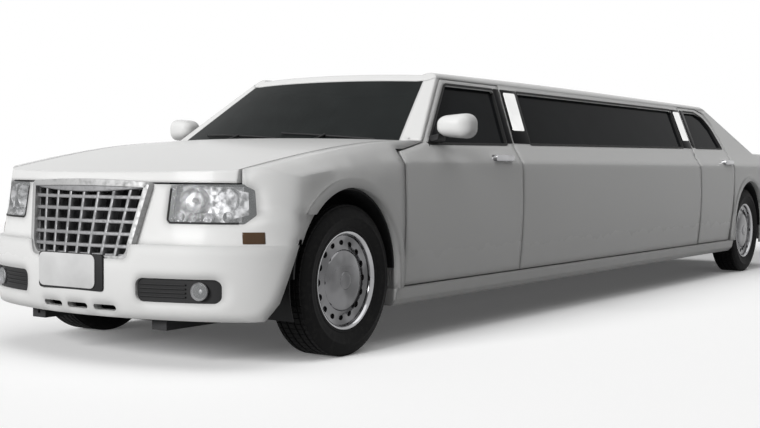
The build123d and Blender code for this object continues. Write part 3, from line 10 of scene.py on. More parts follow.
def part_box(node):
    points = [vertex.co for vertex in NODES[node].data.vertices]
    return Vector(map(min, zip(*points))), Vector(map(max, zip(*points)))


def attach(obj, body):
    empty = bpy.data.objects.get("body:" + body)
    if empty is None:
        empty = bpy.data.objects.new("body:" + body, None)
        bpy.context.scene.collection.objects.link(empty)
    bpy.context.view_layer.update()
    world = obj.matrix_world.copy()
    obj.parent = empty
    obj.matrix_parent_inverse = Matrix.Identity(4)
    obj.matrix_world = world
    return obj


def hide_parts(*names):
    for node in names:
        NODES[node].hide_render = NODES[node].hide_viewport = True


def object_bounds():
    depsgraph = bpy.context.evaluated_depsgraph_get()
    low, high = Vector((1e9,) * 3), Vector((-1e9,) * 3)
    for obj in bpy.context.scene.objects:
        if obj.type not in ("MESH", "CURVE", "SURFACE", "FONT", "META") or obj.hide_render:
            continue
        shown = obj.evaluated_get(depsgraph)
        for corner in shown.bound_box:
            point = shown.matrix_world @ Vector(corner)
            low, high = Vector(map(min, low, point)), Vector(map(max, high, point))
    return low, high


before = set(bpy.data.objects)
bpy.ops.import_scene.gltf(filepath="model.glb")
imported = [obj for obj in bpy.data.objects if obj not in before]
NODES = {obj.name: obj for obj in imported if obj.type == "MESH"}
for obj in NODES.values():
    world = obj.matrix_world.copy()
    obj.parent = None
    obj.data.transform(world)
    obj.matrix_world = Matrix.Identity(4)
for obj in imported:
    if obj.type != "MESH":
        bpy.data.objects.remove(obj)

bl_info = {
    "name": "Stretch limousine",
    "version": (1, 0, 0),
    "blender": (4, 5, 0),
    "location": "View3D > Sidebar > Limousine",
    "description": "Dresses the packed limousine with finishes, tyres, lamps, trim and seats",
    "category": "Add Mesh",
}

cad_low, cad_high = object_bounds()
SIDES = ("left", "right")
WHEELS = ("front_left", "front_right", "rear_left", "rear_right")
FORWARD = Vector((1, 0, 0))
BACKWARD = Vector((-1, 0, 0))


def middle(node):
    """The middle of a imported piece's box."""
    low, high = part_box(node)
    return (low + high) / 2


FRONT_AXLE = middle("tyre_front_left").x
REAR_AXLE = middle("tyre_rear_left").x
# Stations from which rays find the surfaces of the nose and of the tail
AHEAD = FRONT_AXLE + 1.5
BEHIND = REAR_AXLE - 2.0



def from_axle(outline, axle=FRONT_AXLE):
    """Points given as (station ahead of an axle, height), in the car's own frame."""
    return [(axle + x, z) for x, z in outline]


# The slanted window wall, as (half width, height) at the belt and at the roof rail
BELT = Vector((0.866, 1.040))
RAIL = Vector((0.664, 1.412))
WALL_OUT = Vector((0.0, RAIL.y - BELT.y, BELT.x - RAIL.x)).normalized()
PILLAR_LEAN = 0.140 / 0.326


class LimousineSettings(bpy.types.PropertyGroup):
    """Sizes and colours of the limousine that a user would change."""

    paint: FloatVectorProperty(name="Paint", description="Colour of the body paint", size=3,
                               subtype="COLOR", default=(0.60, 0.60, 0.595), min=0, max=1)
    glass: FloatVectorProperty(name="Privacy glass", description="Colour of the side glass", size=3,
                               subtype="COLOR", default=(0.012, 0.013, 0.014), min=0, max=1)
    leather: FloatVectorProperty(name="Leather", description="Colour of the seats", size=3,
                                 subtype="COLOR", default=(0.028, 0.026, 0.025), min=0, max=1)
    glass_density: FloatProperty(name="Side glass density", description="How little the side glass shows",
                                 default=0.96, min=0, max=1, subtype="FACTOR")
    screen_density: FloatProperty(name="Screen density", description="How little the windscreen shows",
                                  default=0.80, min=0, max=1, subtype="FACTOR")
    tread_depth: FloatProperty(name="Tread depth", description="Height of the tread blocks",
                               default=0.007, unit="LENGTH")
    tread_steps: IntProperty(name="Tread steps", description="Tread blocks round a tyre", default=72, min=24)
    wheel_holes: IntProperty(name="Wheel holes", description="Oval holes round a wheel", default=16, min=6)
    lens: FloatProperty(name="Lens", description="Focal length of the camera", default=58.08,
                        unit="CAMERA")
    key_light: FloatProperty(name="Key light", description="Strength of the key light", default=3.8)
    floor_lift: FloatProperty(name="Floor lift", description="Glow that lifts the floor to white",
                              default=0.075, min=0)
    fill_light: FloatProperty(name="Fill light", description="Strength of the surrounding light",
                              default=0.14)


# Shader maths


class Wire:
    """One output of a shader node; sums and products on it add Math nodes."""

    def __init__(self, nodes, socket):
        self.nodes = nodes
        self.socket = socket

    def math(self, operation, first, second):
        return self.nodes.node("ShaderNodeMath", {"operation": operation}, {0: first, 1: second})

    def __add__(self, other):
        return self.math("ADD", self, other)

    def __radd__(self, other):
        return self.math("ADD", other, self)

    def __sub__(self, other):
        return self.math("SUBTRACT", self, other)

    def __rsub__(self, other):
        return self.math("SUBTRACT", other, self)

    def __mul__(self, other):
        return self.math("MULTIPLY", self, other)

    def __rmul__(self, other):
        return self.math("MULTIPLY", other, self)


class Nodes:
    """The nodes of a material or of the world."""

    def __init__(self, tree):
        self.tree = tree

    def node(self, kind, settings=None, inputs=None, output=0):
        """Adds a node: its settings first, then the values or links of its sockets."""
        made = self.tree.nodes.new(kind)
        for key, value in (settings or {}).items():
            setattr(made, key, value)
        for key, value in (inputs or {}).items():
            if isinstance(value, Wire):
                self.tree.links.new(value.socket, made.inputs[key])
            else:
                made.inputs[key].default_value = value
        return Wire(self, made.outputs[output])

    def backdrop_seen(self):
        """1 for rays that show the white backdrop: straight to the camera, mirrored or through glass."""
        seen = self.node("ShaderNodeLightPath", output="Is Camera Ray")
        for kind in ("Is Glossy Ray", "Is Transmission Ray"):
            seen = seen.math("MAXIMUM", seen, self.node("ShaderNodeLightPath", output=kind))
        return seen


class Finish(Nodes):
    """A material whose shader is fed by procedural nodes."""

    def __init__(self, name, values):
        self.material = bpy.data.materials.new(name)
        self.material.use_nodes = True
        super().__init__(self.material.node_tree)
        self.shader = self.tree.nodes["Principled BSDF"]
        for socket, value in values.items():
            self.shader.inputs[socket].default_value = value
        self.place = self.node("ShaderNodeTexCoord", output="Object")

    def noise(self, scale, detail=3.0, stretch=(1, 1, 1)):
        place = self.node("ShaderNodeMapping", None, {"Vector": self.place, "Scale": stretch})
        return self.node("ShaderNodeTexNoise", None, {"Vector": place, "Scale": scale, "Detail": detail})

    def between(self, value, low, high):
        return self.node("ShaderNodeMapRange", {"interpolation_type": "SMOOTHSTEP"},
                         {"Value": value, "From Min": low, "From Max": high})

    def height(self):
        return self.node("ShaderNodeSeparateXYZ", None, {0: self.place}, "Z")

    def mix(self, share, first, second):
        return self.node("ShaderNodeMix", {"data_type": "RGBA"}, {0: share, 6: first, 7: second}, 2)

    def bump(self, height, strength, distance, normal=None):
        inputs = {"Strength": strength, "Distance": distance, "Height": height}
        if normal:
            inputs["Normal"] = normal
        return self.node("ShaderNodeBump", None, inputs)

    def edge(self, radius):
        return self.node("ShaderNodeBevel", {"samples": 4}, {"Radius": radius})

    def feed(self, **wires):
        """Links wires to the shader's sockets, by their names in small letters, and gives the material."""
        for key, wire in wires.items():
            self.tree.links.new(wire.socket, self.shader.inputs[key.replace("_", " ").title()])
        return self.material


def shade(colour, factor=1.0):
    """An opaque colour, scaled by a factor."""
    return tuple(min(1.0, part * factor) for part in colour) + (1.0,)


def body_paint(settings, name, edge_round):
    """Gloss paint with a fine orange peel, and a film of road dust low on the sides."""
    paint = Finish(name, {"IOR": 1.45, "Specular IOR Level": 0.09, "Coat Weight": 0.06,
                          "Coat Roughness": 0.05})
    low = 1 - paint.between(paint.height(), 0.12, 0.70)
    dust = low * low * paint.noise(9.0, 6.0)
    cloud = paint.noise(1.3, 2.0)
    colour = paint.mix(cloud, shade(settings.paint, 0.985), shade(settings.paint, 1.015))
    colour = paint.mix(dust * 0.20, colour, (0.30, 0.29, 0.275, 1))
    peel = paint.bump(paint.noise(420.0, 1.0), 0.035, 0.0004, paint.edge(edge_round))
    return paint.feed(base_color=colour, roughness=dust * 0.20 + 0.26, normal=peel)


def chrome(name, tint, wear, depth=0.90, reflection_patch_scale=6.0):
    """Plating with faint wipe marks and a haze set by the wear; the depth darkens its cloudy places, which
    are painted dark reflections.
    """
    plating = Finish(name, {"Metallic": 1.0, "IOR": 2.2})
    haze = plating.noise(38.0, 5.0)
    # Cloudy patches of painted dark reflection; the depth sets how dark they are
    cloud = plating.between(plating.noise(reflection_patch_scale, 2.0), 0.36, 0.64)
    colour = plating.mix(cloud, shade(tint, depth), shade(tint))
    wipe = plating.bump(plating.noise(160.0, 2.0, (1, 1, 0.2)), 0.02, 0.0003, plating.edge(0.0015))
    return plating.feed(base_color=colour, roughness=haze * wear + 0.045, normal=wipe)


def tinted_glass(name, tint, density):
    """Tinted glass with a thin uneven film; the density says how little shows through."""
    pane = Finish(name, {"IOR": 1.45, "Specular IOR Level": 0.012, "Alpha": density})
    film = pane.noise(6.0, 5.0)
    colour = pane.mix(film, shade(tint, 0.8), shade(tint, 1.5))
    return pane.feed(base_color=colour, roughness=film * 0.05 + 0.02)


def lamp_glass(name, tint, density):
    """A moulded lens with fine upright flutes."""
    lens = Finish(name, {"IOR": 1.45, "Specular IOR Level": 0.2, "Coat Weight": 0.15,
                         "Coat Roughness": 0.02, "Alpha": density})
    flutes = lens.node("ShaderNodeTexWave", {"bands_direction": "Y", "wave_profile": "SIN"},
                       {"Vector": lens.place, "Scale": 28.0, "Distortion": 0.0})
    film = lens.noise(20.0, 4.0)
    colour = lens.mix(film, shade(tint, 0.9), shade(tint, 1.05))
    return lens.feed(base_color=colour, roughness=film * 0.06 + 0.03, normal=lens.bump(flutes, 0.12, 0.001))


def grained(name, colour, grain, roughness, strength=0.25):
    """Moulded plastic or coating with an even grain."""
    coat = Finish(name, {"IOR": 1.46, "Specular IOR Level": 0.22})
    fine = coat.noise(grain, 4.0)
    broad = coat.noise(7.0, 3.0)
    tone = coat.mix(broad, shade(colour, 0.8), shade(colour, 1.25))
    relief = coat.bump(fine, strength, 0.0006, coat.edge(0.002))
    return coat.feed(base_color=tone, roughness=fine * 0.16 + roughness - 0.08, normal=relief)


def bare_metal(name, colour, roughness, rust):
    """Cast or rolled metal with streaks and a bloom of rust."""
    metal = Finish(name, {"Metallic": 1.0})
    streak = metal.noise(60.0, 4.0, (0.15, 1, 1))
    bloom = metal.between(metal.noise(5.0, 6.0), 0.52, 0.75)
    tone = metal.mix(streak, shade(colour, 0.75), shade(colour, 1.2))
    tone = metal.mix(bloom * rust, tone, (0.12, 0.055, 0.03, 1))
    relief = metal.bump(streak, 0.15, 0.0005, metal.edge(0.003))
    return metal.feed(base_color=tone, roughness=streak * 0.2 + roughness, normal=relief)


def tyre_rubber():
    """Black rubber with a fine grit and greyer scuffs."""
    rubber = Finish("tyre_rubber", {"IOR": 1.45, "Specular IOR Level": 0.11})
    scuff = rubber.noise(34.0, 6.0)
    grit = rubber.noise(420.0, 2.0)
    tone = rubber.mix(rubber.between(scuff, 0.45, 0.72), (0.005, 0.005, 0.0053, 1),
                      (0.014, 0.0137, 0.0135, 1))
    return rubber.feed(base_color=tone, roughness=scuff * 0.22 + 0.56, normal=rubber.bump(grit, 0.2, 0.0005))


def leather(settings):
    """Pebbled leather with a soft sheen and darker creases."""
    hide = Finish("seat_leather", {"IOR": 1.48, "Sheen Weight": 0.12})
    pebble = hide.node("ShaderNodeTexVoronoi", {"feature": "SMOOTH_F1"},
                       {"Vector": hide.place, "Scale": 260.0, "Smoothness": 0.6})
    crease = hide.noise(11.0, 5.0)
    tone = hide.mix(crease, shade(settings.leather, 0.75), shade(settings.leather, 1.5))
    relief = hide.bump(pebble, 0.35, 0.0006, hide.bump(crease, 0.15, 0.004))
    return hide.feed(base_color=tone, roughness=crease * 0.2 + 0.36, normal=relief)


def carpet():
    """Dark pile carpet for the cabin floor."""
    pile = Finish("cabin_carpet", {"IOR": 1.4})
    tuft = pile.noise(520.0, 3.0)
    tone = pile.mix(tuft, (0.012, 0.012, 0.013, 1), (0.05, 0.05, 0.052, 1))
    return pile.feed(base_color=tone, roughness=tuft * 0.1 + 0.85, normal=pile.bump(tuft, 0.6, 0.003))


FINISHES = {}

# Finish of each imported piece
NODE_FINISH = {
    "nose_paint": ("front_wings", "front_bumper"),
    "wing_paint": ("side_panels", "front_door_left", "front_door_right", "rear_door_left",
                   "rear_door_right", "quarter_panels"),
    "body_paint": ("bonnet", "screen_pillars", "roof_panel", "sills", "boot_lid",
                   "rear_bumper", "mirror_left", "mirror_right"),
    "grille_chrome": ("grille",),
    "wheel_chrome": ("rim_front_left", "rim_front_right", "rim_rear_left", "rim_rear_right"),
    "privacy_glass": ("long_windows", "front_glass_left", "front_glass_right", "rear_glass_left",
                      "rear_glass_right", "rear_window"),
    "screen_glass": ("windscreen",),
    "clear_lens": ("headlamps",),
    "red_lens": ("tail_lamps",),
    "black_plastic": ("fog_lamps", "cowl", "wheel_liners", "radiator"),
    "underbody_coat": ("chassis_frame", "parcel_shelf"),
    "cabin_carpet": ("floor_pan",),
    "cast_iron": ("engine", "rear_axle", "knuckle_left", "knuckle_right"),
    "rolled_steel": ("drive_shaft", "exhaust", "door_hinges"),
    "tyre_rubber": ("tyre_front_left", "tyre_front_right", "tyre_rear_left", "tyre_rear_right"),
    "cabin_trim": ("dashboard", "steering_wheel", "partition"),
    "seat_leather": ("front_seats", "cabin_benches"),
}


def make_finishes(settings):
    """All the materials of the car, by name."""
    made = [
        body_paint(settings, "body_paint", 0.022),
        body_paint(settings, "wing_paint", 0.060),
        body_paint(settings, "nose_paint", 0.075),
        # Each chrome's cloudy places, darkened by its depth, are painted dark reflections
        chrome("bright_chrome", (0.42, 0.42, 0.43), 0.08, 0.80),
        # The wheels' chrome is darkened as a painted dark reflection
        chrome("wheel_chrome", (0.19, 0.19, 0.195), 0.08, 0.55),
        chrome("lamp_reflector", (0.52, 0.52, 0.53), 1.20, 0.22, 30.0),
        # The grille's chrome and its frame are darkened as painted shade, as if under the bonnet's edge
        chrome("grille_chrome", (0.23, 0.23, 0.235), 1.15, 0.85),
        chrome("grille_frame_painted_shade", (0.33, 0.33, 0.33), 1.20, 0.92),
        chrome("polished_strip", (0.93, 0.93, 0.92), 0.14),
        tinted_glass("privacy_glass", settings.glass, settings.glass_density),
        tinted_glass("screen_glass", (0.018, 0.020, 0.020), settings.screen_density),
        tinted_glass("pillar_gloss", (0.008, 0.008, 0.009), 1.0),
        lamp_glass("clear_lens", (0.80, 0.82, 0.83), 0.18),
        lamp_glass("red_lens", (0.42, 0.006, 0.008), 0.90),
        lamp_glass("amber_lens", (0.060, 0.030, 0.012), 0.95),
        grained("black_plastic", (0.011, 0.011, 0.0115), 900.0, 0.55),
        grained("underbody_coat", (0.030, 0.030, 0.031), 300.0, 0.75, 0.5),
        grained("cabin_trim", (0.035, 0.035, 0.037), 1200.0, 0.60),
        grained("seal_rubber", (0.010, 0.010, 0.010), 600.0, 0.68),
        grained("blank_plate", (0.46, 0.46, 0.46), 500.0, 0.40, 0.08),
        bare_metal("cast_iron", (0.16, 0.16, 0.17), 0.5, 0.7),
        bare_metal("rolled_steel", (0.42, 0.42, 0.43), 0.32, 0.25),
        tyre_rubber(),
        leather(settings),
        carpet(),
    ]
    return {material.name.split(".")[0]: material for material in made}


# Mesh helpers


def shaped(bm, name, body, *finishes, slot=None, sharp=math.radians(38)):
    """Turns a finished bmesh into a piece that rides on a body."""
    bmesh.ops.recalc_face_normals(bm, faces=bm.faces)
    for face in bm.faces:
        face.smooth = True
    for edge in bm.edges:
        if len(edge.link_faces) == 2 and edge.calc_face_angle(0.0) > sharp:
            edge.smooth = False
    mesh = bpy.data.meshes.new(name)
    bm.to_mesh(mesh)
    bm.free()
    piece = bpy.data.objects.new(name, mesh)
    bpy.context.scene.collection.objects.link(piece)
    for finish in finishes:
        mesh.materials.append(FINISHES[finish])
    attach(piece, body)
    return piece


def to_side(bm, side):
    """The mesh as it is on the left, or mirrored for the right."""
    if side == "right":
        bmesh.ops.scale(bm, vec=(1, -1, 1), verts=bm.verts)
        bmesh.ops.reverse_faces(bm, faces=bm.faces)
    return bm


def sided(bm, label, side, body, *finishes):
    """A piece formed on the left, set on its side of the car and named for it, as its body is."""
    return shaped(to_side(bm, side), f"{label}_{side}", body.replace("left", side), *finishes)


def shifted(bm, offset):
    """Moves the whole mesh."""
    bmesh.ops.translate(bm, verts=bm.verts, vec=offset)
    return bm


def rotated(bm, angle, axis):
    """Turns the whole mesh about an axis through the origin."""
    bmesh.ops.rotate(bm, cent=(0, 0, 0), matrix=Matrix.Rotation(angle, 3, axis), verts=bm.verts)
    return bm


def merged(bm, distance=1e-5):
    """Joins the points that lie together."""
    bmesh.ops.remove_doubles(bm, verts=bm.verts, dist=distance)
    return bm


def faced(bm):
    """Points the faces outwards."""
    bmesh.ops.recalc_face_normals(bm, faces=bm.faces)
    return bm


def joined(*parts):
    """Several meshes as one."""
    whole = parts[0]
    for part in parts[1:]:
        mesh = bpy.data.meshes.new("part")
        part.to_mesh(mesh)
        part.free()
        whole.from_mesh(mesh)
        bpy.data.meshes.remove(mesh)
    return whole


def corner_points(geometry):
    """The points among the parts that an operator gives back."""
    return [part for part in geometry if isinstance(part, bmesh.types.BMVert)]


def drawn_out(bm, faces, way, keep=True):
    """Draws faces out along a vector, with walls behind them; what they leave may stay as the other side."""
    raised = bmesh.ops.extrude_face_region(bm, geom=faces, use_keep_orig=True)["geom"]
    bmesh.ops.translate(bm, vec=way, verts=corner_points(raised))
    if not keep:
        bmesh.ops.delete(bm, geom=faces, context="FACES")
    return bm


def soften(bm, width, segments=2, angle=math.radians(30)):
    """Rounds the sharp edges."""
    edges = [e for e in bm.edges if len(e.link_faces) == 2 and e.calc_face_angle(0.0) > angle]
    bmesh.ops.bevel(bm, geom=edges, affect="EDGES", offset=width, segments=segments, profile=0.5,
                    material=-1, clamp_overlap=True)
    return bm


def round_corners(bm, corners, radius, segments=5):
    """Rounds corners of a flat face."""
    bmesh.ops.bevel(bm, geom=corners, affect="VERTICES", offset=radius, segments=segments, profile=0.5,
                    material=-1)
    return bm


def turned(profile, steps):
    """A profile of (offset along Y, radius) points turned about the Y axis."""
    bm = bmesh.new()
    verts = [bm.verts.new((0, offset, radius)) for offset, radius in profile]
    edges = [bm.edges.new(pair) for pair in zip(verts, verts[1:])]
    bmesh.ops.spin(bm, geom=verts + edges, cent=(0, 0, 0), axis=(0, 1, 0), angle=math.tau, steps=steps,
                   use_merge=True)
    return faced(merged(bm))


def block(size, rounding, segments=3):
    """A box about the origin with rounded edges."""
    bm = bmesh.new()
    bmesh.ops.create_cube(bm, size=1.0)
    bmesh.ops.scale(bm, vec=size, verts=bm.verts)
    return soften(bm, rounding, segments)


def cells(across, up):
    """A flat sheet from -0.5 to 0.5 both ways, divided into cells."""
    bm = bmesh.new()
    bmesh.ops.create_grid(bm, x_segments=across, y_segments=up, size=0.5)
    return bm


def flat_face(points, corner=0.0):
    """One face through the points, its corners rounded."""
    bm = bmesh.new()
    bm.faces.new([bm.verts.new(point) for point in points])
    return round_corners(bm, bm.verts[:], corner) if corner else bm


def plate(points, thickness, corner=0.0):
    """A flat plate through the points, its corners rounded, thick along the vector."""
    bm = flat_face(points, corner)
    return faced(drawn_out(bm, bm.faces[:], thickness))


def side_plate(outline, start, width, corner=0.0):
    """A plate drawn in side view as (station, height) points, from one distance to the left over a width."""
    return plate([(x, start, z) for x, z in outline], (0, width, 0), corner)


def upright(x, first, second, low, high):
    """Corners of an upright rectangle across the car, between two distances to the left."""
    return [(x, first, low), (x, second, low), (x, second, high), (x, first, high)]


def skin(node, start, way):
    """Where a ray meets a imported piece, and the way that its surface faces there."""
    hit, place, normal, _ = NODES[node].ray_cast(Vector(start), way)
    if not hit:
        raise RuntimeError(f"no surface of {node} from {tuple(start)}")
    return place, normal


def on_skin(node, corners, divisions, way, lift, thickness):
    """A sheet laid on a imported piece: four corners, in order, seen along the way of the rays."""
    bm = cells(*divisions)
    a, b, c, d = (Vector(corner) for corner in corners)
    for vert in bm.verts:
        across, up = vert.co.x + 0.5, vert.co.y + 0.5
        start = (a.lerp(b, across)).lerp(d.lerp(c, across), up)
        vert.co = skin(node, start, way)[0] - way * lift
    faced(bm)
    return faced(drawn_out(bm, bm.faces[:], -way * thickness))


def rod(points, radius, sides=10):
    """A round rod along a line of points."""
    bm = bmesh.new()
    points = [Vector(point) for point in points]
    ring = bmesh.ops.create_circle(bm, cap_ends=True, segments=sides, radius=radius)["verts"]
    way = (points[1] - points[0]).normalized()
    turn = Vector((0, 0, 1)).rotation_difference(way).to_matrix()
    bmesh.ops.rotate(bm, cent=(0, 0, 0), matrix=turn, verts=ring)
    bmesh.ops.translate(bm, vec=points[0], verts=ring)
    cap = bm.faces[:]
    for step, point in enumerate(points[1:], 1):
        raised = bmesh.ops.extrude_face_region(bm, geom=cap, use_keep_orig=True)["geom"]
        if step > 1:
            bmesh.ops.delete(bm, geom=cap, context="FACES")
        cap = [part for part in raised if isinstance(part, bmesh.types.BMFace)]
        moved = corner_points(raised)
        centre = sum((v.co for v in moved), Vector()) / len(moved)
        new_way = (points[min(step + 1, len(points) - 1)] - points[step - 1]).normalized()
        bmesh.ops.rotate(bm, cent=centre, matrix=way.rotation_difference(new_way).to_matrix(), verts=moved)
        bmesh.ops.translate(bm, vec=point - centre, verts=moved)
        way = new_way
    return faced(bm)


def on_wall(x, z, out=0.0):
    """A point on the left window wall at a height, moved outwards."""
    share = (z - BELT.y) / (RAIL.y - BELT.y)
    return Vector((x, BELT.x + share * (RAIL.x - BELT.x), z)) + WALL_OUT * out


def leaning(x, z):
    """The station of a leaning pillar edge at a height, for an edge at x on the belt."""
    return x - PILLAR_LEAN * (z - BELT.y)


def leaning_panel(front, rear, low, high, out, thickness, corner):
    """A plate on the left window wall between two leaning edges."""
    corners = ((front, low), (front, high), (rear, high), (rear, low))
    return plate([on_wall(leaning(x, z), z, out) for x, z in corners], WALL_OUT * thickness, corner)


# Operators


class LIMOUSINE_OT_finishes(bpy.types.Operator):
    """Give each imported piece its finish"""

    bl_idname = "limousine.finishes"
    bl_label = "Finishes"

    def execute(self, context):
        FINISHES.update(make_finishes(context.scene.limousine))
        for finish, nodes in NODE_FINISH.items():
            for node in nodes:
                NODES[node].data.materials.clear()
                NODES[node].data.materials.append(FINISHES[finish])
        return {"FINISHED"}


# Half of a tyre's outer line from the bead to the tread: distance from the middle plane, radius
TYRE_WALL = [(0.080, 0.2290), (0.0880, 0.2345), (0.0935, 0.2400), (0.0960, 0.2480), (0.0945, 0.2510),
             (0.1010, 0.2650), (0.1065, 0.2820), (0.1095, 0.2980), (0.1115, 0.3010), (0.1115, 0.3055),
             (0.1092, 0.3085), (0.1060, 0.3240), (0.1000, 0.3400), (0.0940, 0.3500), (0.0885, 0.3555)]
# Edges of the tread's block rows, from the outer shoulder inwards, and how much a block narrows
TREAD_EDGES = [0.086, 0.064, 0.057, 0.025, 0.018, -0.018, -0.025, -0.057, -0.064, -0.086]
BLOCK_TAPER = 0.0022


def treaded_tyre(settings, radius):
    """A tyre about the origin: turned walls, then raised tread blocks between the grooves."""
    base = radius - settings.tread_depth
    profile = TYRE_WALL + [(edge, base) for edge in TREAD_EDGES]
    profile += [(-offset, height) for offset, height in reversed(TYRE_WALL)]
    bm = turned(profile + profile[:1], settings.tread_steps)
    rows = list(zip(TREAD_EDGES[::2], TREAD_EDGES[1::2]))
    blocks = []
    for face in bm.faces:
        centre = face.calc_center_median()
        on_tread = math.hypot(centre.x, centre.z) > base - 0.003 and abs(face.normal.y) < 0.3
        if on_tread and any(low < centre.y < high for high, low in rows):
            blocks.append(face)
    bmesh.ops.inset_individual(bm, faces=blocks, thickness=BLOCK_TAPER, depth=settings.tread_depth,
                               use_even_offset=True)
    return bm


class LIMOUSINE_OT_tyres(bpy.types.Operator):
    """Make the four treaded tyres"""

    bl_idname = "limousine.tyres"
    bl_label = "Tyres"

    def execute(self, context):
        low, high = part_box("tyre_front_left")
        for wheel in WHEELS:
            bm = treaded_tyre(context.scene.limousine, (high.z - low.z) / 2)
            bm = shifted(bm, middle(f"tyre_{wheel}"))
            piece = shaped(bm, f"tread_{wheel}", f"wheel_{wheel}", "tyre_rubber")
            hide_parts(f"tyre_{wheel}")
        return {"FINISHED"}


# Lines of a wheel's flange and barrel, of its domed middle and of the drum behind: offset outwards, radius
WHEEL_BARREL = [(-0.088, 0.2275), (-0.092, 0.2345), (-0.090, 0.2360), (-0.084, 0.2300), (-0.070, 0.2180),
                (0.060, 0.2120), (0.083, 0.2285), (0.088, 0.2350), (0.0925, 0.2350), (0.0935, 0.2310),
                (0.0900, 0.2240), (0.0800, 0.2180), (0.0660, 0.2140)]
WHEEL_DOME = [(0.0700, 0.1480), (0.0760, 0.1440), (0.0800, 0.1360), (0.0835, 0.1100), (0.0855, 0.0700),
              (0.0860, 0.0440), (0.0890, 0.0420), (0.0905, 0.0380), (0.0910, 0.0200), (0.0912, 0.0)]
BRAKE_DRUM = [(0.040, 0.205), (0.045, 0.130), (0.030, 0.070), (-0.010, 0.066), (-0.012, 0.0)]
# The band between flange and dome: its radii, its offset inside, how far it falls outwards and is dished
HOLE_RING = (0.2140, 0.1480)
BAND_OFFSET = 0.070
BAND_FALL = 0.004
BAND_DISH = 0.010
BAND_STEPS = 4
# Half length and half width of an oval hole in it, the collar round a hole and the depth of its wall
HOLE_SIZE = (0.0170, 0.0125)
HOLE_COLLAR = 1.45
HOLE_WALL = 0.009
# The flange is brighter outside this radius, as a painted highlight
PAINTED_HIGHLIGHT_RADIUS = 0.2200


def hole_band(count):
    """The dished band of oval holes between the flange and the domed middle."""
    outer, inner = HOLE_RING
    mid = (outer + inner) / 2
    sector = math.tau / count
    half = sector / 2
    shares = [step / BAND_STEPS for step in range(BAND_STEPS)]
    edge = [(inner + (outer - inner) * share, -half) for share in shares]
    edge += [(outer, -half + sector * share) for share in shares]
    edge += [(outer + (inner - outer) * share, half) for share in shares]
    edge += [(inner, half - sector * share) for share in shares]
    bm = bmesh.new()
    rings = [[bm.verts.new((r * math.sin(a), 0, r * math.cos(a))) for r, a in edge]]
    for grow in (HOLE_COLLAR, 1.0):
        ring = []
        for r, a in edge:
            turn = math.atan2(r * math.sin(a), r * math.cos(a) - mid)
            ring.append(bm.verts.new((grow * HOLE_SIZE[0] * math.sin(turn), 0,
                                      mid + grow * HOLE_SIZE[1] * math.cos(turn))))
        rings.append(ring)
    loops = [[bm.edges.new((ring[i], ring[i - 1])) for i in range(len(ring))] for ring in rings]
    for first, second in zip(loops, loops[1:]):
        bmesh.ops.bridge_loops(bm, edges=first + second)
    raised = bmesh.ops.extrude_edge_only(bm, edges=loops[-1])["geom"]
    bmesh.ops.translate(bm, vec=(0, -HOLE_WALL, 0), verts=corner_points(raised))
    bmesh.ops.spin(bm, geom=bm.verts[:] + bm.edges[:] + bm.faces[:], cent=(0, 0, 0), axis=(0, 1, 0),
                   angle=math.tau - sector, steps=count - 1, use_duplicate=True)
    for vert in merged(bm).verts:
        share = (math.hypot(vert.co.x, vert.co.z) - inner) / (outer - inner)
        dish = BAND_DISH * math.sin(math.pi * min(max(share, 0), 1))
        vert.co.y += BAND_OFFSET - BAND_FALL * share - dish
    return bm


class LIMOUSINE_OT_wheels(bpy.types.Operator):
    """Make the four plated wheels with their ring of oval holes"""

    bl_idname = "limousine.wheels"
    bl_label = "Wheels"

    def execute(self, context):
        for wheel in WHEELS:
            side = wheel.split("_")[1]
            hub = middle(f"rim_{wheel}")
            band = hole_band(context.scene.limousine.wheel_holes)
            bm = merged(joined(turned(WHEEL_BARREL, 72), turned(WHEEL_DOME, 72), band), 1e-4)
            # The flange takes the bright chrome as a painted highlight, and the rest takes the darker chrome
            # as a painted dark reflection
            for face in bm.faces:
                centre = face.calc_center_median()
                face.material_index = int(math.hypot(centre.x, centre.z) > PAINTED_HIGHLIGHT_RADIUS)
            bm = shifted(to_side(bm, side), hub)
            piece = shaped(bm, f"wheel_{wheel}", f"wheel_{wheel}", "wheel_chrome", "bright_chrome")
            drum = shifted(to_side(turned(BRAKE_DRUM, 48), side), hub)
            shaped(drum, f"brake_{wheel}", f"wheel_{wheel}", "cast_iron")
            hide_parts(f"rim_{wheel}")
        return {"FINISHED"}


# Bowls behind each headlamp lens: distance from the middle of the car, height, radius, depth
LAMP_BOWLS = [(0.545, 0.752, 0.062, 0.060), (0.690, 0.752, 0.056, 0.055), (0.505, 0.680, 0.020, 0.022),
              (0.570, 0.676, 0.022, 0.022), (0.640, 0.676, 0.022, 0.022), (0.712, 0.680, 0.022, 0.022)]
BOWL_SETBACK = 0.016
# Reflector sheets: behind the lens as (distance from the middle, height), and inside its outer end
# as (station ahead of the axle, distance, height), with the way that this one is seen
LAMP_BACK = [(0.472, 0.656), (0.744, 0.656), (0.738, 0.814), (0.472, 0.815)]
LAMP_BACK_DEPTH = 0.075
LAMP_END = [(0.690, 0.752, 0.668), (0.600, 0.792, 0.690), (0.600, 0.792, 0.790), (0.690, 0.752, 0.808)]
LAMP_END_WAY = Vector((-0.6, -0.8, 0))
LAMP_END_DEPTH = 0.030
REFLECTOR_WALL = 0.004
# Dark seal on the lens's inner and lower edges: distance from the middle of the car, height
LAMP_SEAL_OUTER = [(0.4665, 0.806), (0.4665, 0.668), (0.4840, 0.6505), (0.7720, 0.6505)]
LAMP_SEAL_INNER = [(0.4755, 0.806), (0.4755, 0.668), (0.4840, 0.6590), (0.7720, 0.6590)]
LAMP_SEAL_THICKNESS = 0.002


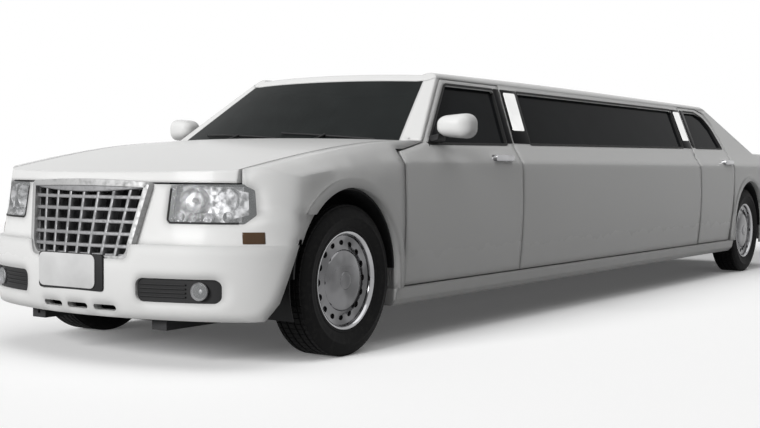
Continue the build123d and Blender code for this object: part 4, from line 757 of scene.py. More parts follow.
def lamp_seal():
    """The left headlamp's seal, laid on its lens in straight strips."""
    strips = []
    for step in range(len(LAMP_SEAL_OUTER) - 1):
        edge = LAMP_SEAL_OUTER[step:step + 2] + LAMP_SEAL_INNER[step:step + 2][::-1]
        corners = [(AHEAD, y, z) for y, z in edge]
        strips.append(on_skin("headlamps", corners, (12, 2), BACKWARD, 0.0002, LAMP_SEAL_THICKNESS))
    return joined(*strips)


def lamp_bowl(y, z, radius, depth, x):
    """A reflector bowl with its bulb cap, facing forward."""
    bowl = turned([(-depth, 0.0), (-depth * 0.97, radius * 0.24), (-depth * 0.72, radius * 0.56),
                   (-depth * 0.35, radius * 0.82), (0.0, radius), (0.003, radius * 1.06),
                   (-0.004, radius * 1.10), (-depth, radius * 0.9)], 32)
    cap = turned([(-depth * 0.9, radius * 0.17), (-depth * 0.35, radius * 0.20),
                  (-depth * 0.22, radius * 0.14), (-depth * 0.18, 0.0)], 20)
    return shifted(rotated(joined(bowl, cap), -math.pi / 2, "Z"), (x, y, z))


class LIMOUSINE_OT_headlamps(bpy.types.Operator):
    """Put reflectors and bulb caps behind the headlamp lenses, and a seal on them"""

    bl_idname = "limousine.headlamps"
    bl_label = "Headlamps"

    def execute(self, context):
        back_corners = [(AHEAD, y, z) for y, z in LAMP_BACK]
        end_corners = [Vector((FRONT_AXLE + x, y, z)) - LAMP_END_WAY for x, y, z in LAMP_END]
        for side in SIDES:
            bowls = []
            for y, z, radius, depth in LAMP_BOWLS:
                edge = skin("headlamps", (AHEAD, y + radius, z), BACKWARD)[0].x
                bowls.append(lamp_bowl(y, z, radius, depth, edge - BOWL_SETBACK))
            sided(joined(*bowls), "headlamp_bowls", side, "body", "lamp_reflector")
            back = on_skin("headlamps", back_corners, (16, 8), BACKWARD, -LAMP_BACK_DEPTH, REFLECTOR_WALL)
            sided(back, "headlamp_back", side, "body", "lamp_reflector")
            sided(lamp_seal(), "headlamp_seal", side, "body", "seal_rubber")
            end = on_skin("headlamps", end_corners, (8, 8), LAMP_END_WAY, -LAMP_END_DEPTH, REFLECTOR_WALL)
            sided(end, "headlamp_end", side, "body", "lamp_reflector")
        return {"FINISHED"}


# Fog lamp: distance from the middle of the car and height, its turn to face ahead and outwards, and its forms
FOG_PLACE = (0.650, 0.357)
FOG_TURN = -math.pi / 2 + 0.25
FOG_PROUD = 0.004
FOG_FORMS = [
    ("fog_bowl", "grille_chrome",
     [(0.0, 0.041), (0.010, 0.041), (0.012, 0.0390), (0.010, 0.0365), (-0.030, 0.022), (-0.036, 0.012),
      (-0.030, 0.011), (-0.004, 0.010), (0.0, 0.0)]),
    ("fog_glass", "clear_lens", [(0.010, 0.0365), (0.0115, 0.030), (0.0130, 0.016), (0.0135, 0.0)]),
]
# Slats beside it: their ends, the heights of their lower edges, how high and how deep each is
SLAT_ENDS = (0.366, 0.590)
SLAT_HEIGHTS = (0.327, 0.345, 0.363, 0.381)
SLAT_RISE = 0.006
SLAT_DEPTH = 0.009
# Side marker lamp: the way of its rays, where they start, half of its length and height, sink and thickness
MARKER_WAY = Vector((-0.45, -0.89, 0)).normalized()
MARKER_START = Vector((FRONT_AXLE + 0.640, 0.885, 0.590)) - MARKER_WAY * 0.8
MARKER_ALONG = Vector((MARKER_WAY.y, -MARKER_WAY.x, 0)) * 0.048
MARKER_RISE = Vector((0, 0, 0.026))
MARKER_SINK = 0.004
MARKER_THICKNESS = 0.007


class LIMOUSINE_OT_fog_lamps(bpy.types.Operator):
    """Make the fog lamps, the slats beside them and the side marker lamps"""

    bl_idname = "limousine.fog_lamps"
    bl_label = "Fog lamps and markers"

    def execute(self, context):
        edge = skin("fog_lamps", (AHEAD, *FOG_PLACE), BACKWARD)[0].x
        low, high = MARKER_START - MARKER_RISE, MARKER_START + MARKER_RISE
        corners = [low - MARKER_ALONG, low + MARKER_ALONG, high + MARKER_ALONG, high - MARKER_ALONG]
        for side in SIDES:
            slats = [on_skin("fog_lamps", upright(AHEAD, *SLAT_ENDS, z, z + SLAT_RISE), (10, 1), BACKWARD,
                             0.0, SLAT_DEPTH) for z in SLAT_HEIGHTS]
            sided(soften(joined(*slats), 0.0015), "fog_slats", side, "body", "black_plastic")
            for label, finish, profile in FOG_FORMS:
                bm = rotated(turned(profile, 36), FOG_TURN, "Z")
                sided(shifted(bm, (edge + FOG_PROUD, *FOG_PLACE)), label, side, "body", finish)
            marker = on_skin("front_bumper", corners, (6, 3), MARKER_WAY, -MARKER_SINK, MARKER_THICKNESS)
            sided(soften(marker, 0.002), "side_marker", side, "body", "amber_lens")
        return {"FINISHED"}


# The face of the nose: its reach ahead of the axle, its fall at a distance from the middle, and its rake
NOSE_REACH = 0.842
NOSE_FALL = 0.097
NOSE_FALL_AT = 0.6
NOSE_RAKE = 0.18
NOSE_HEIGHT = 0.65
# The grille's opening, as (half width, height) at its foot and at its top, its cells and its bars
GRILLE_FOOT = Vector((0.308, 0.488))
GRILLE_TOP = Vector((0.372, 0.818))
GRILLE_ROWS = 6
GRILLE_COLUMNS = 8
GRILLE_BAR = 0.0165
GRILLE_BAR_DEPTH = 0.034
GRILLE_SETBACK = 0.014
# The plated bar across its top: width, edges at its ends, how much deeper it is in the middle, and depth
HEADER_WIDTH = 0.720
HEADER_EDGES = (0.806, 0.820)
HEADER_SWELL = (0.020, 0.014)
HEADER_DEPTH = 0.022
HEADER_PROUD = 0.007
# The frame round it: outer corners as (distance to the left, height), corner radii, width and depth
SURROUND = [(-0.316, 0.476), (0.316, 0.476), (0.386, 0.832), (-0.386, 0.832)]
SURROUND_FOOT_RADIUS = 0.052
SURROUND_TOP_RADIUS = 0.020
SURROUND_WIDTH = 0.024
SURROUND_DEPTH = 0.050
# Its foot goes back by a setback below one height, and its top rises in an arch above another
FOOT_HEIGHT = 0.560
FOOT_SPAN = 0.084
FOOT_SETBACK = 0.016
ARCH_HEIGHT = 0.780
ARCH_SPAN = 0.054
ARCH_RISE = 0.014
ARCH_HALF = 0.380
# Above this height the frame keeps ahead of the bonnet's edge
BONNET_EDGE = 0.830
BONNET_CLEAR = 0.021


def bowed(bm, ahead):
    """Sets a flat form on the bowed and raked face of the nose, so far ahead of it."""
    for vert in bm.verts:
        fall = NOSE_FALL * (vert.co.y / NOSE_FALL_AT) ** 2 + NOSE_RAKE * (vert.co.z - NOSE_HEIGHT)
        vert.co.x += FRONT_AXLE + NOSE_REACH - fall + ahead
    return bm


def grille_bar(start, end):
    """One straight bar of the grille between two (left, height) points, rounded at the front."""
    along = Vector(end) - Vector(start)
    across = Vector((-along.y, along.x)).normalized() * GRILLE_BAR
    bm = cells(24, 1)
    for vert in bm.verts:
        y, z = Vector(start) + along * (vert.co.x + 0.5) + across * vert.co.y
        vert.co = (0, y, z)
    drawn_out(bm, bm.faces[:], FORWARD * GRILLE_BAR_DEPTH)
    return bowed(soften(bm, 0.004, 3), -GRILLE_SETBACK)


def grille_bars():
    """The crossing bars of the grille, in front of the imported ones."""
    bars = []
    for row in range(1, GRILLE_ROWS):
        half, z = GRILLE_FOOT.lerp(GRILLE_TOP, row / GRILLE_ROWS)
        bars.append(grille_bar((-half, z), (half, z)))
    for column in range(1, GRILLE_COLUMNS):
        share = 2 * column / GRILLE_COLUMNS - 1
        bars.append(grille_bar((share * GRILLE_FOOT.x, GRILLE_FOOT.y), (share * GRILLE_TOP.x, GRILLE_TOP.y)))
    return joined(*bars)


def grille_header():
    """The plated bar across the grille's top, deeper in the middle."""
    bm = cells(40, 2)
    for vert in bm.verts:
        swell = 1 - (2 * vert.co.x) ** 2
        low = HEADER_EDGES[0] - HEADER_SWELL[0] * swell
        high = HEADER_EDGES[1] + HEADER_SWELL[1] * swell
        vert.co = (0, vert.co.x * HEADER_WIDTH, low + (high - low) * (vert.co.y + 0.5))
    drawn_out(bm, bm.faces[:], FORWARD * HEADER_DEPTH)
    return bowed(soften(bm, 0.006, 3), HEADER_PROUD)


def grille_surround():
    """The proud plated frame round the grille, set back at its foot and arched at its top."""
    bm = flat_face([(0, y, z) for y, z in SURROUND])
    foot = [vert for vert in bm.verts if vert.co.z < GRILLE_FOOT.y]
    round_corners(bm, foot, SURROUND_FOOT_RADIUS, 6)
    top = [vert for vert in bm.verts if vert.co.z > GRILLE_TOP.y]
    round_corners(bm, top, SURROUND_TOP_RADIUS, 4)
    long_edges = [edge for edge in bm.edges if edge.calc_length() > 0.2]
    bmesh.ops.subdivide_edges(bm, edges=long_edges, cuts=24)
    opening = bm.faces[:]
    bmesh.ops.inset_region(bm, faces=opening, thickness=SURROUND_WIDTH, use_boundary=True,
                           use_even_offset=True)
    bmesh.ops.delete(bm, geom=opening, context="FACES_ONLY")
    drawn_out(bm, bm.faces[:], FORWARD * SURROUND_DEPTH)
    soften(bm, 0.008, 3, math.radians(60))
    for vert in bm.verts:
        vert.co.x -= FOOT_SETBACK * max(0.0, FOOT_HEIGHT - vert.co.z) / FOOT_SPAN
        rise = max(0.0, vert.co.z - ARCH_HEIGHT) / ARCH_SPAN
        vert.co.z += ARCH_RISE * rise * max(0.0, 1 - (vert.co.y / ARCH_HALF) ** 2)
        if vert.co.z > BONNET_EDGE:
            vert.co.x = max(vert.co.x, BONNET_CLEAR)
    return bowed(bm, -GRILLE_SETBACK)


# Number plate and its holder: name, finish, corners, thickness, corner radius and edge rounding
PLATES = [
    ("plate_holder", "black_plastic", upright(cad_high.x - 0.016, -0.236, 0.185, 0.338, 0.505),
     0.018, 0.018, 0.003),
    ("number_plate", "blank_plate", upright(cad_high.x + 0.0025, -0.230, 0.140, 0.348, 0.503),
     0.004, 0.030, 0.0015),
]


class LIMOUSINE_OT_nose_trim(bpy.types.Operator):
    """Add the grille's bars, header and surround, and the blank number plate in its holder"""

    bl_idname = "limousine.nose_trim"
    bl_label = "Nose trim"

    def execute(self, context):
        shaped(grille_bars(), "grille_bars", "body", "grille_chrome")
        shaped(grille_header(), "grille_header", "body", "grille_chrome")
        shaped(grille_surround(), "grille_surround", "body", "grille_frame_painted_shade")
        for name, finish, corners, thickness, corner, rounding in PLATES:
            shaped(soften(plate(corners, FORWARD * thickness, corner), rounding), name, "body", finish)
        return {"FINISHED"}


# What is cut from the bumper along the wheel arch: outline in side view, start to the left and width
BUMPER_CUT = from_axle([(0.400, 0.200), (0.400, 0.580), (0.420, 0.580), (0.447, 0.505), (0.490, 0.390),
                        (0.524, 0.300), (0.604, 0.200)])
BUMPER_CUT_START = 0.600
BUMPER_CUT_WIDTH = 0.400
# Guards that carry the front wheel liners down behind the bumper: edges to the left, angles about the hub
GUARD_EDGES = (0.470, 0.880)
GUARD_FOOT = math.radians(22)
GUARD_LAP = math.radians(8)
GUARD_WALL = 0.004
# Inner cheek of the guard, in side view
GUARD_CHEEK = from_axle([(0.385, 0.206), (0.600, 0.216), (0.600, 0.420), (0.400, 0.420)])


def cut_away(bm, cutter):
    """The mesh without the space that a closed cutter fills."""
    pieces = []
    for part in (bm, cutter):
        mesh = bpy.data.meshes.new("cut")
        part.to_mesh(mesh)
        part.free()
        pieces.append(bpy.data.objects.new("cut", mesh))
        bpy.context.scene.collection.objects.link(pieces[-1])
    away = pieces[0].modifiers.new("away", "BOOLEAN")
    away.operation = "DIFFERENCE"
    away.solver = "EXACT"
    away.object = pieces[1]
    rest = bpy.data.meshes.new_from_object(pieces[0].evaluated_get(bpy.context.evaluated_depsgraph_get()))
    result = bmesh.new()
    result.from_mesh(rest)
    for mesh in [rest] + [piece.data for piece in pieces]:
        bpy.data.meshes.remove(mesh)
    return result


def splash_guard():
    """The guard ahead of the left front wheel: a curved wall below its liner, and an inner cheek."""
    hub = middle("rim_front_left")
    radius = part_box("wheel_liners")[1].x - hub.x - GUARD_WALL
    bm = bmesh.new()
    ends = [bm.verts.new((radius, y, 0)) for y in GUARD_EDGES]
    line = bm.edges.new(ends)
    rotated(bm, GUARD_FOOT, "Y")
    bmesh.ops.spin(bm, geom=[*ends, line], cent=(0, 0, 0), axis=(0, 1, 0), angle=-GUARD_FOOT - GUARD_LAP,
                   steps=10)
    bmesh.ops.solidify(faced(bm), geom=bm.faces[:], thickness=GUARD_WALL)
    cheek = side_plate(GUARD_CHEEK, GUARD_EDGES[0], GUARD_WALL)
    return joined(shifted(faced(bm), (hub.x, 0, hub.z)), cheek)


class LIMOUSINE_OT_nose_panels(bpy.types.Operator):
    """Make the wings and the bumper's cover, swept back along the wheel arches, and the guards behind"""

    bl_idname = "limousine.nose_panels"
    bl_label = "Nose panels"

    def execute(self, context):
        bm = bmesh.new()
        bm.from_mesh(NODES["front_bumper"].data)
        merged(bm)
        for side in SIDES:
            cutter = side_plate(BUMPER_CUT, BUMPER_CUT_START, BUMPER_CUT_WIDTH)
            bm = cut_away(bm, to_side(cutter, side))
        bm.from_mesh(NODES["front_wings"].data)
        cover = shaped(merged(bm), "nose_panels", "body", "nose_paint")
        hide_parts("front_bumper", "front_wings")
        for side in SIDES:
            sided(splash_guard(), "splash_guard", side, "body", "black_plastic")
        return {"FINISHED"}


# Dark covers on the pillars: name, body on the left, front and rear edge on the belt, low, high
PILLAR_COVERS = [
    ("door_post", "door_front_left", FRONT_AXLE - 1.664, FRONT_AXLE - 1.728, 1.050, 1.384),
    ("partition_post", "body", FRONT_AXLE - 1.748, FRONT_AXLE - 1.958, 1.052, 1.384),
    ("cabin_post", "body", REAR_AXLE + 1.456, REAR_AXLE + 1.282, 1.070, 1.384),
    ("rear_door_post", "door_rear_left", REAR_AXLE + 1.262, REAR_AXLE + 1.190, 1.078, 1.384),
]
# Bright strips on them: name, front and rear edge on the belt, low, high
BRIGHT_STRIPS = [
    ("partition_strip", FRONT_AXLE - 1.775, FRONT_AXLE - 1.925, 1.128, 1.364),
    ("cabin_strip", REAR_AXLE + 1.432, REAR_AXLE + 1.300, 1.128, 1.364),
]
# Covers and strips on the wall: how far out they start, thickness, corner radius
COVER_LAY = (0.0004, 0.0030, 0.006)
STRIP_LAY = (0.0034, 0.0035, 0.012)
# Dark seals of the side windows: their top, width on the wall, corner radius, thickness, and the lip inwards
BAND_TOP = 1.385
SEAL_WIDTH = 0.010
SEAL_CORNER = 0.026
SEAL_THICKNESS = 0.0022
LIP_WIDTH = 0.004
LIP_DEPTH = 0.0155


def screen_edge(z, setback):
    """The station of the line of the windscreen pillar at a height."""
    return FRONT_AXLE - setback - (z - 1.036) * 0.490 / 0.368


# Outer line of the seal round each window in the left wall: name, body, corners as (station, height)
WINDOW_SEALS = [
    ("front_window", "door_front_left",
     [(screen_edge(1.026, 0.765), 1.026), (screen_edge(BAND_TOP, 0.772), BAND_TOP),
      (leaning(FRONT_AXLE - 1.670, BAND_TOP), BAND_TOP), (leaning(FRONT_AXLE - 1.670, 1.036), 1.036)]),
    ("long_window", "body",
     [(FRONT_AXLE - 1.953, 1.043), (leaning(FRONT_AXLE - 1.953, BAND_TOP), BAND_TOP),
      (leaning(REAR_AXLE + 1.451, BAND_TOP), BAND_TOP), (leaning(REAR_AXLE + 1.451, 1.066), 1.066)]),
    ("rear_window", "door_rear_left",
     [(leaning(REAR_AXLE + 1.195, 1.069), 1.069), (leaning(REAR_AXLE + 1.195, BAND_TOP), BAND_TOP),
      (REAR_AXLE + 0.760, BAND_TOP), (REAR_AXLE + 0.612, 1.337), (REAR_AXLE + 0.537, 1.254),
      (REAR_AXLE + 0.503, 1.073)]),
]


def window_seal(outline):
    """A flat dark seal on the left window wall, with a lip that goes in to the glass."""
    bm = flat_face([on_wall(x, z, 0.0002) for x, z in outline], SEAL_CORNER)
    opening = bm.faces[:]
    for width in (SEAL_WIDTH, LIP_WIDTH):
        lip = bmesh.ops.inset_region(bm, faces=opening, thickness=width, use_boundary=True,
                                     use_even_offset=True)["faces"]
    bmesh.ops.delete(bm, geom=opening, context="FACES_ONLY")
    drawn_out(bm, bm.faces[:], WALL_OUT * SEAL_THICKNESS)
    return faced(drawn_out(bm, lip, WALL_OUT * -LIP_DEPTH, keep=False))


class LIMOUSINE_OT_window_trim(bpy.types.Operator):
    """Cover the pillars in gloss black with bright strips, and run a seal round each side window"""

    bl_idname = "limousine.window_trim"
    bl_label = "Window trim"

    def execute(self, context):
        for side in SIDES:
            for name, body, *edges in PILLAR_COVERS:
                cover = soften(leaning_panel(*edges, *COVER_LAY), 0.0012)
                sided(cover, name, side, body, "pillar_gloss")
            for name, body, outline in WINDOW_SEALS:
                sided(window_seal(outline), f"{name}_seal", side, body, "seal_rubber")
            for name, *edges in BRIGHT_STRIPS:
                strip = soften(leaning_panel(*edges, *STRIP_LAY), 0.0015, 3)
                sided(strip, name, side, "body", "polished_strip")
        return {"FINISHED"}


# Door handles: end of the car and station; half length, lower and upper edge, start to the left and depth
HANDLES = [("front", FRONT_AXLE - 1.500), ("rear", REAR_AXLE + 0.590)]
HANDLE_HALF = 0.104
HANDLE_EDGES = (0.944, 0.980)
HANDLE_START = 0.900
HANDLE_DEPTH = 0.047
# Lock behind each handle: distance behind its middle, height, and line as (offset outwards, radius)
LOCK_BEHIND = 0.135
LOCK_HEIGHT = 0.962
LOCK = [(-0.004, 0.0125), (0.002, 0.0125), (0.0035, 0.0110), (0.0030, 0.0050), (0.0020, 0.0045),
        (0.0020, 0.0)]
# Door mirror: middle and size of its shell, the foot below it and the sail behind it on the wall
MIRROR_PLACE = (FRONT_AXLE - 0.868, 0.976, 1.127)
MIRROR_SIZE = (0.145, 0.200, 0.138)
MIRROR_FOOT = [(FRONT_AXLE - 0.790, 0.846, 1.034), (FRONT_AXLE - 0.880, 0.846, 1.034),
               (FRONT_AXLE - 0.872, 0.846, 1.074), (FRONT_AXLE - 0.806, 0.846, 1.074)]
MIRROR_FOOT_REACH = (0, 0.066, 0.014)
MIRROR_SAIL = [(screen_edge(1.040, 0.778), 1.040), (FRONT_AXLE - 0.930, 1.040),
               (screen_edge(1.130, 0.790), 1.130)]
SAIL_START = 0.0026
SAIL_THICKNESS = 0.004


def mirror_shell():
    """The left mirror's smooth rounded shell, narrower inwards and ahead, with a pocket for its glass."""
    bm = block(MIRROR_SIZE, MIRROR_SIZE[0] * 0.36, 6)
    for vert in bm.verts:
        outwards = vert.co.y / MIRROR_SIZE[1] + 0.5
        ahead = vert.co.x / MIRROR_SIZE[0] + 0.5
        vert.co.z *= 1.0 - 0.24 * (1 - outwards) ** 2 - 0.14 * ahead * ahead
        vert.co.y *= 1.0 - 0.12 * ahead * ahead
        vert.co.x -= 0.030 * outwards * outwards
    rear = [face for face in bm.faces if face.normal.x < -0.90]
    for width, depth in ((0.007, 0.0), (0.003, -0.010)):
        bmesh.ops.inset_region(bm, faces=rear, thickness=width, depth=depth, use_even_offset=True)
    for face in rear:
        face.material_index = 1
    return shifted(bm, MIRROR_PLACE)


class LIMOUSINE_OT_door_furniture(bpy.types.Operator):
    """Make the plated door handles and locks, and the door mirrors"""

    bl_idname = "limousine.door_furniture"
    bl_label = "Handles and mirrors"

    def execute(self, context):
        low, high = HANDLE_EDGES
        for side in SIDES:
            for end, x in HANDLES:
                rear, front = x - HANDLE_HALF, x + HANDLE_HALF
                outline = [(rear, low), (front, low), (front, high), (rear, high)]
                grip = soften(side_plate(outline, HANDLE_START, HANDLE_DEPTH, 0.012), 0.008, 4)
                sided(grip, f"handle_{end}", side, f"door_{end}_left", "bright_chrome")
                place = skin(f"{end}_door_left", (x - LOCK_BEHIND, 1.5, LOCK_HEIGHT), Vector((0, -1, 0)))[0]
                lock = shifted(turned(LOCK, 24), place)
                sided(lock, f"lock_{end}", side, f"door_{end}_left", "bright_chrome")
            door = "door_front_left"
            shell = sided(mirror_shell(), "mirror_shell", side, door, "body_paint", "polished_strip")
            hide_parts(f"mirror_{side}")
            foot = soften(plate(MIRROR_FOOT, MIRROR_FOOT_REACH, 0.012), 0.006, 3)
            sided(foot, "mirror_foot", side, door, "black_plastic")
            corners = [on_wall(x, z, SAIL_START) for x, z in MIRROR_SAIL]
            sail = plate(corners, WALL_OUT * SAIL_THICKNESS, 0.008)
            sided(soften(sail, 0.0015), "mirror_sail", side, door, "pillar_gloss")
        return {"FINISHED"}


# Wipers on the windscreen: name, and the blade's and the arm's points as (distance to the left, height)
WIPERS = [
    ("left", [(0.640, 1.046), (0.440, 1.060), (0.240, 1.072), (0.060, 1.080)],
     [(0.300, 1.030), (0.330, 1.048), (0.350, 1.066)]),
    ("right", [(0.060, 1.052), (-0.140, 1.064), (-0.340, 1.072), (-0.540, 1.074)],
     [(-0.320, 1.030), (-0.270, 1.050), (-0.240, 1.068)]),
]
# Height of a blade and of an arm above the glass, and radius
BLADE_FORM = (0.009, 0.0055)
ARM_FORM = (0.017, 0.0060)


class LIMOUSINE_OT_wipers(bpy.types.Operator):
    """Lay the two wipers along the foot of the windscreen"""

    bl_idname = "limousine.wipers"
    bl_label = "Wipers"

    def execute(self, context):
        for name, blade, arm in WIPERS:
            parts = []
            for line, (lift, radius) in ((blade, BLADE_FORM), (arm, ARM_FORM)):
                points = []
                for y, z in line:
                    place, normal = skin("windscreen", (AHEAD, y, z), BACKWARD)
                    points.append(place + normal * lift)
                parts.append(rod(points, radius, 8))
            shaped(joined(*parts), f"wiper_{name}", "body", "black_plastic")
        return {"FINISHED"}


# Cells of a tail lamp: their sides, the lower and upper edge of each, sink into the lens and thickness
CELL_SIDES = (0.590, 0.760)
CELL_EDGES = ((0.690, 0.735), (0.755, 0.800), (0.820, 0.905))
CELL_SINK = 0.002
CELL_THICKNESS = 0.006
# Exhaust tip: distance to the left, height, start ahead of the pipe's end, and line as (offset, radius)
TIP_PLACE = (0.560, 0.204)
TIP_START = 0.056
EXHAUST_TIP = [(-0.060, 0.0345), (-0.058, 0.0375), (0.050, 0.0375), (0.056, 0.0395), (0.062, 0.0385),
               (0.062, 0.0330), (0.056, 0.0285), (-0.040, 0.0285)]
# Bright bar across the boot lid: corners, sink into the lid and thickness
BOOT_BAR = upright(BEHIND, -0.420, 0.420, 0.800, 0.826)
BOOT_BAR_SINK = 0.001
BOOT_BAR_THICKNESS = 0.012


class LIMOUSINE_OT_tail(bpy.types.Operator):
    """Add the tail lamps' cells, the boot's chrome bar and the exhaust tips"""

    bl_idname = "limousine.tail"
    bl_label = "Tail"

    def execute(self, context):
        pipe_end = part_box("exhaust")[0].x
        for side in SIDES:
            lenses = [on_skin("tail_lamps", upright(BEHIND, *CELL_SIDES, *edges), (8, 3), FORWARD, -CELL_SINK,
                              CELL_THICKNESS) for edges in CELL_EDGES]
            sided(soften(joined(*lenses), 0.0025), "tail_cells", side, "body", "red_lens")
            tip = rotated(turned(EXHAUST_TIP, 32), math.pi / 2, "Z")
            tip = shifted(tip, (pipe_end + TIP_START, *TIP_PLACE))
            sided(tip, "exhaust_tip", side, "body", "bright_chrome")
        bar = on_skin("boot_lid", BOOT_BAR, (24, 1), FORWARD, -BOOT_BAR_SINK, BOOT_BAR_THICKNESS)
        shaped(soften(bar, 0.004, 3), "boot_bar", "boot_lid", "bright_chrome")
        return {"FINISHED"}


# Steering wheel: middle, radius of its ring and of the grip, rake and hub line
STEERING_PLACE = Vector((FRONT_AXLE - 1.010, 0.370, 0.850))
STEERING_RADIUS = 0.174
STEERING_GRIP = 0.015
STEERING_RAKE = math.radians(26)
STEERING_HUB = [(0.030, 0.0), (0.030, 0.030), (0.020, 0.058), (-0.010, 0.066), (-0.030, 0.050),
                (-0.090, 0.030), (-0.090, 0.0)]
# Its spokes: angles, distances from the hub of their points, how far the middle one is dished, and radius
SPOKE_ANGLES = (0.35, math.pi - 0.35, -math.pi / 2 - 0.4, -math.pi / 2 + 0.4)
SPOKE_POINTS = (0.045, 0.110, 0.172)
SPOKE_DISH = Vector((0, 0.004, 0))
SPOKE_RADIUS = 0.0105
# Ends of the column from the wheel's middle, and its radius
COLUMN = (Vector((0.050, 0, -0.025)), Vector((0.240, 0, -0.110)))
COLUMN_RADIUS = 0.034
# Hood over the dials in side view, its start to the left and its width
DIAL_HOOD = from_axle([(-0.640, 0.925), (-0.870, 0.915), (-0.880, 0.968), (-0.780, 0.984)])
DIAL_HOOD_START = 0.190
DIAL_HOOD_WIDTH = 0.360


class LIMOUSINE_OT_controls(bpy.types.Operator):
    """Make the steering wheel, its column and the instrument hood"""

    bl_idname = "limousine.controls"
    bl_label = "Controls"

    def execute(self, context):
        turns = [step * math.tau / 12 for step in range(13)]
        ring = [(STEERING_GRIP * math.sin(turn), STEERING_RADIUS + STEERING_GRIP * math.cos(turn))
                for turn in turns]
        spokes = []
        for angle in SPOKE_ANGLES:
            way = Vector((math.cos(angle), 0, math.sin(angle)))
            inner, bend, outer = (way * reach for reach in SPOKE_POINTS)
            spokes.append(rod([inner, bend + SPOKE_DISH, outer], SPOKE_RADIUS))
        bm = joined(turned(ring, 48), turned(STEERING_HUB, 32), *spokes)
        bm = rotated(rotated(bm, math.pi / 2, "Z"), STEERING_RAKE, "Y")
        bm = shifted(bm, STEERING_PLACE)
        piece = shaped(bm, "steering_rim", "body", "cabin_trim", slot="leather_black")
        column = rod([STEERING_PLACE + end for end in COLUMN], COLUMN_RADIUS, 20)
        shaped(column, "steering_column", "body", "black_plastic")
        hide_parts("steering_wheel")
        hood = side_plate(DIAL_HOOD, DIAL_HOOD_START, DIAL_HOOD_WIDTH, 0.016)
        shaped(soften(hood, 0.014, 3), "instrument_hood", "body", "cabin_trim")
        return {"FINISHED"}


# Cushions: name, middle, size, lean back in degrees, sewn channels, number of copies and step between them
PADS = [
    ("driver_seat", (FRONT_AXLE - 1.372, 0.400, 0.500), (0.450, 0.440, 0.110), 5.0, 3, 2, (0, -0.8, 0)),
    ("driver_back", (FRONT_AXLE - 1.695, 0.400, 0.755), (0.100, 0.440, 0.300), -14.0, 4, 2, (0, -0.8, 0)),
    ("headrest", (FRONT_AXLE - 1.758, 0.400, 1.000), (0.070, 0.220, 0.090), -14.0, 0, 2, (0, -0.8, 0)),
    ("side_seat", (0.714, -0.505, 0.520), (0.640, 0.360, 0.080), 0.0, 3, 4, (-0.684, 0, 0)),
    ("side_back", (0.714, -0.735, 0.790), (0.640, 0.060, 0.340), 0.0, 3, 4, (-0.684, 0, 0)),
    ("rear_seat", (REAR_AXLE + 0.550, 0.413, 0.520), (0.370, 0.370, 0.090), 3.8, 3, 3, (0, -0.413, 0)),
    ("rear_back", (REAR_AXLE + 0.218, 0.413, 0.775), (0.070, 0.370, 0.320), -16.3, 3, 3, (0, -0.413, 0)),
]
FRONT_BASE = from_axle([(-1.150, 0.262), (-1.145, 0.440), (-1.600, 0.400), (-1.605, 0.540), (-1.800, 1.040),
                        (-1.818, 1.040), (-1.690, 0.262)])
REAR_BASE = from_axle([(0.750, 0.262), (0.750, 0.470), (0.330, 0.455), (0.280, 0.560), (0.160, 0.960),
                       (0.090, 0.960), (0.200, 0.530), (0.550, 0.530), (0.550, 0.262)], REAR_AXLE)
# Firm bases below the cushions: name, outline in side view, start to the left, width
BASES = [("driver_base", FRONT_BASE, 0.175, 0.450), ("passenger_base", FRONT_BASE, -0.625, 0.450),
         ("rear_base", REAR_BASE, -0.610, 1.220)]
# Box and backing of the side bench: name, middle, size
SIDE_BENCH = [("side_base", (-0.305, -0.525, 0.365), (2.700, 0.440, 0.200)),
              ("side_rest", (-0.305, -0.772, 0.620), (2.700, 0.014, 0.700))]
# Cloth run on the cushions: voxel of the skin, pressure, frames, and the most that a point may move
PAD_VOXEL = 0.014
PAD_PRESSURE = 4.0
PAD_FRAMES = 20
PAD_PUSH = 0.018
# Sewn channels: half width and depth
CHANNEL_WIDTH = 0.010
CHANNEL_DEPTH = 0.009


def evaluated(form):
    """A new mesh of an object as its modifiers leave it."""
    return bpy.data.meshes.new_from_object(form.evaluated_get(bpy.context.evaluated_depsgraph_get()))


def puffed(bm, name):
    """A copy of a closed form swollen by cloth pressure, no point moving further than the push."""
    mesh = bpy.data.meshes.new(name)
    bm.to_mesh(mesh)
    bm.free()
    form = bpy.data.objects.new(name, mesh)
    scene = bpy.context.scene
    scene.collection.objects.link(form)
    shell = form.modifiers.new("skin", "REMESH")
    shell.mode = "VOXEL"
    shell.voxel_size = PAD_VOXEL
    base = evaluated(form)
    form.modifiers.clear()
    form.data = base
    bpy.data.meshes.remove(mesh)
    swollen = base
    cloth = form.modifiers.new("pressure", "CLOTH")
    cloth.settings.use_pressure = True
    cloth.settings.uniform_pressure_force = PAD_PRESSURE
    cloth.settings.effector_weights.gravity = 0.0
    cloth.point_cache.frame_end = PAD_FRAMES
    for step in range(1, PAD_FRAMES + 1):
        scene.frame_set(step)
    swollen = evaluated(form)
    scene.frame_set(1)
    result = bmesh.new()
    result.from_mesh(base)
    for vert, moved in zip(result.verts, swollen.vertices):
        shift = moved.co - vert.co
        if shift.length > PAD_PUSH:
            shift = shift.normalized() * PAD_PUSH
        vert.co += shift
    bpy.data.objects.remove(form)
    return result


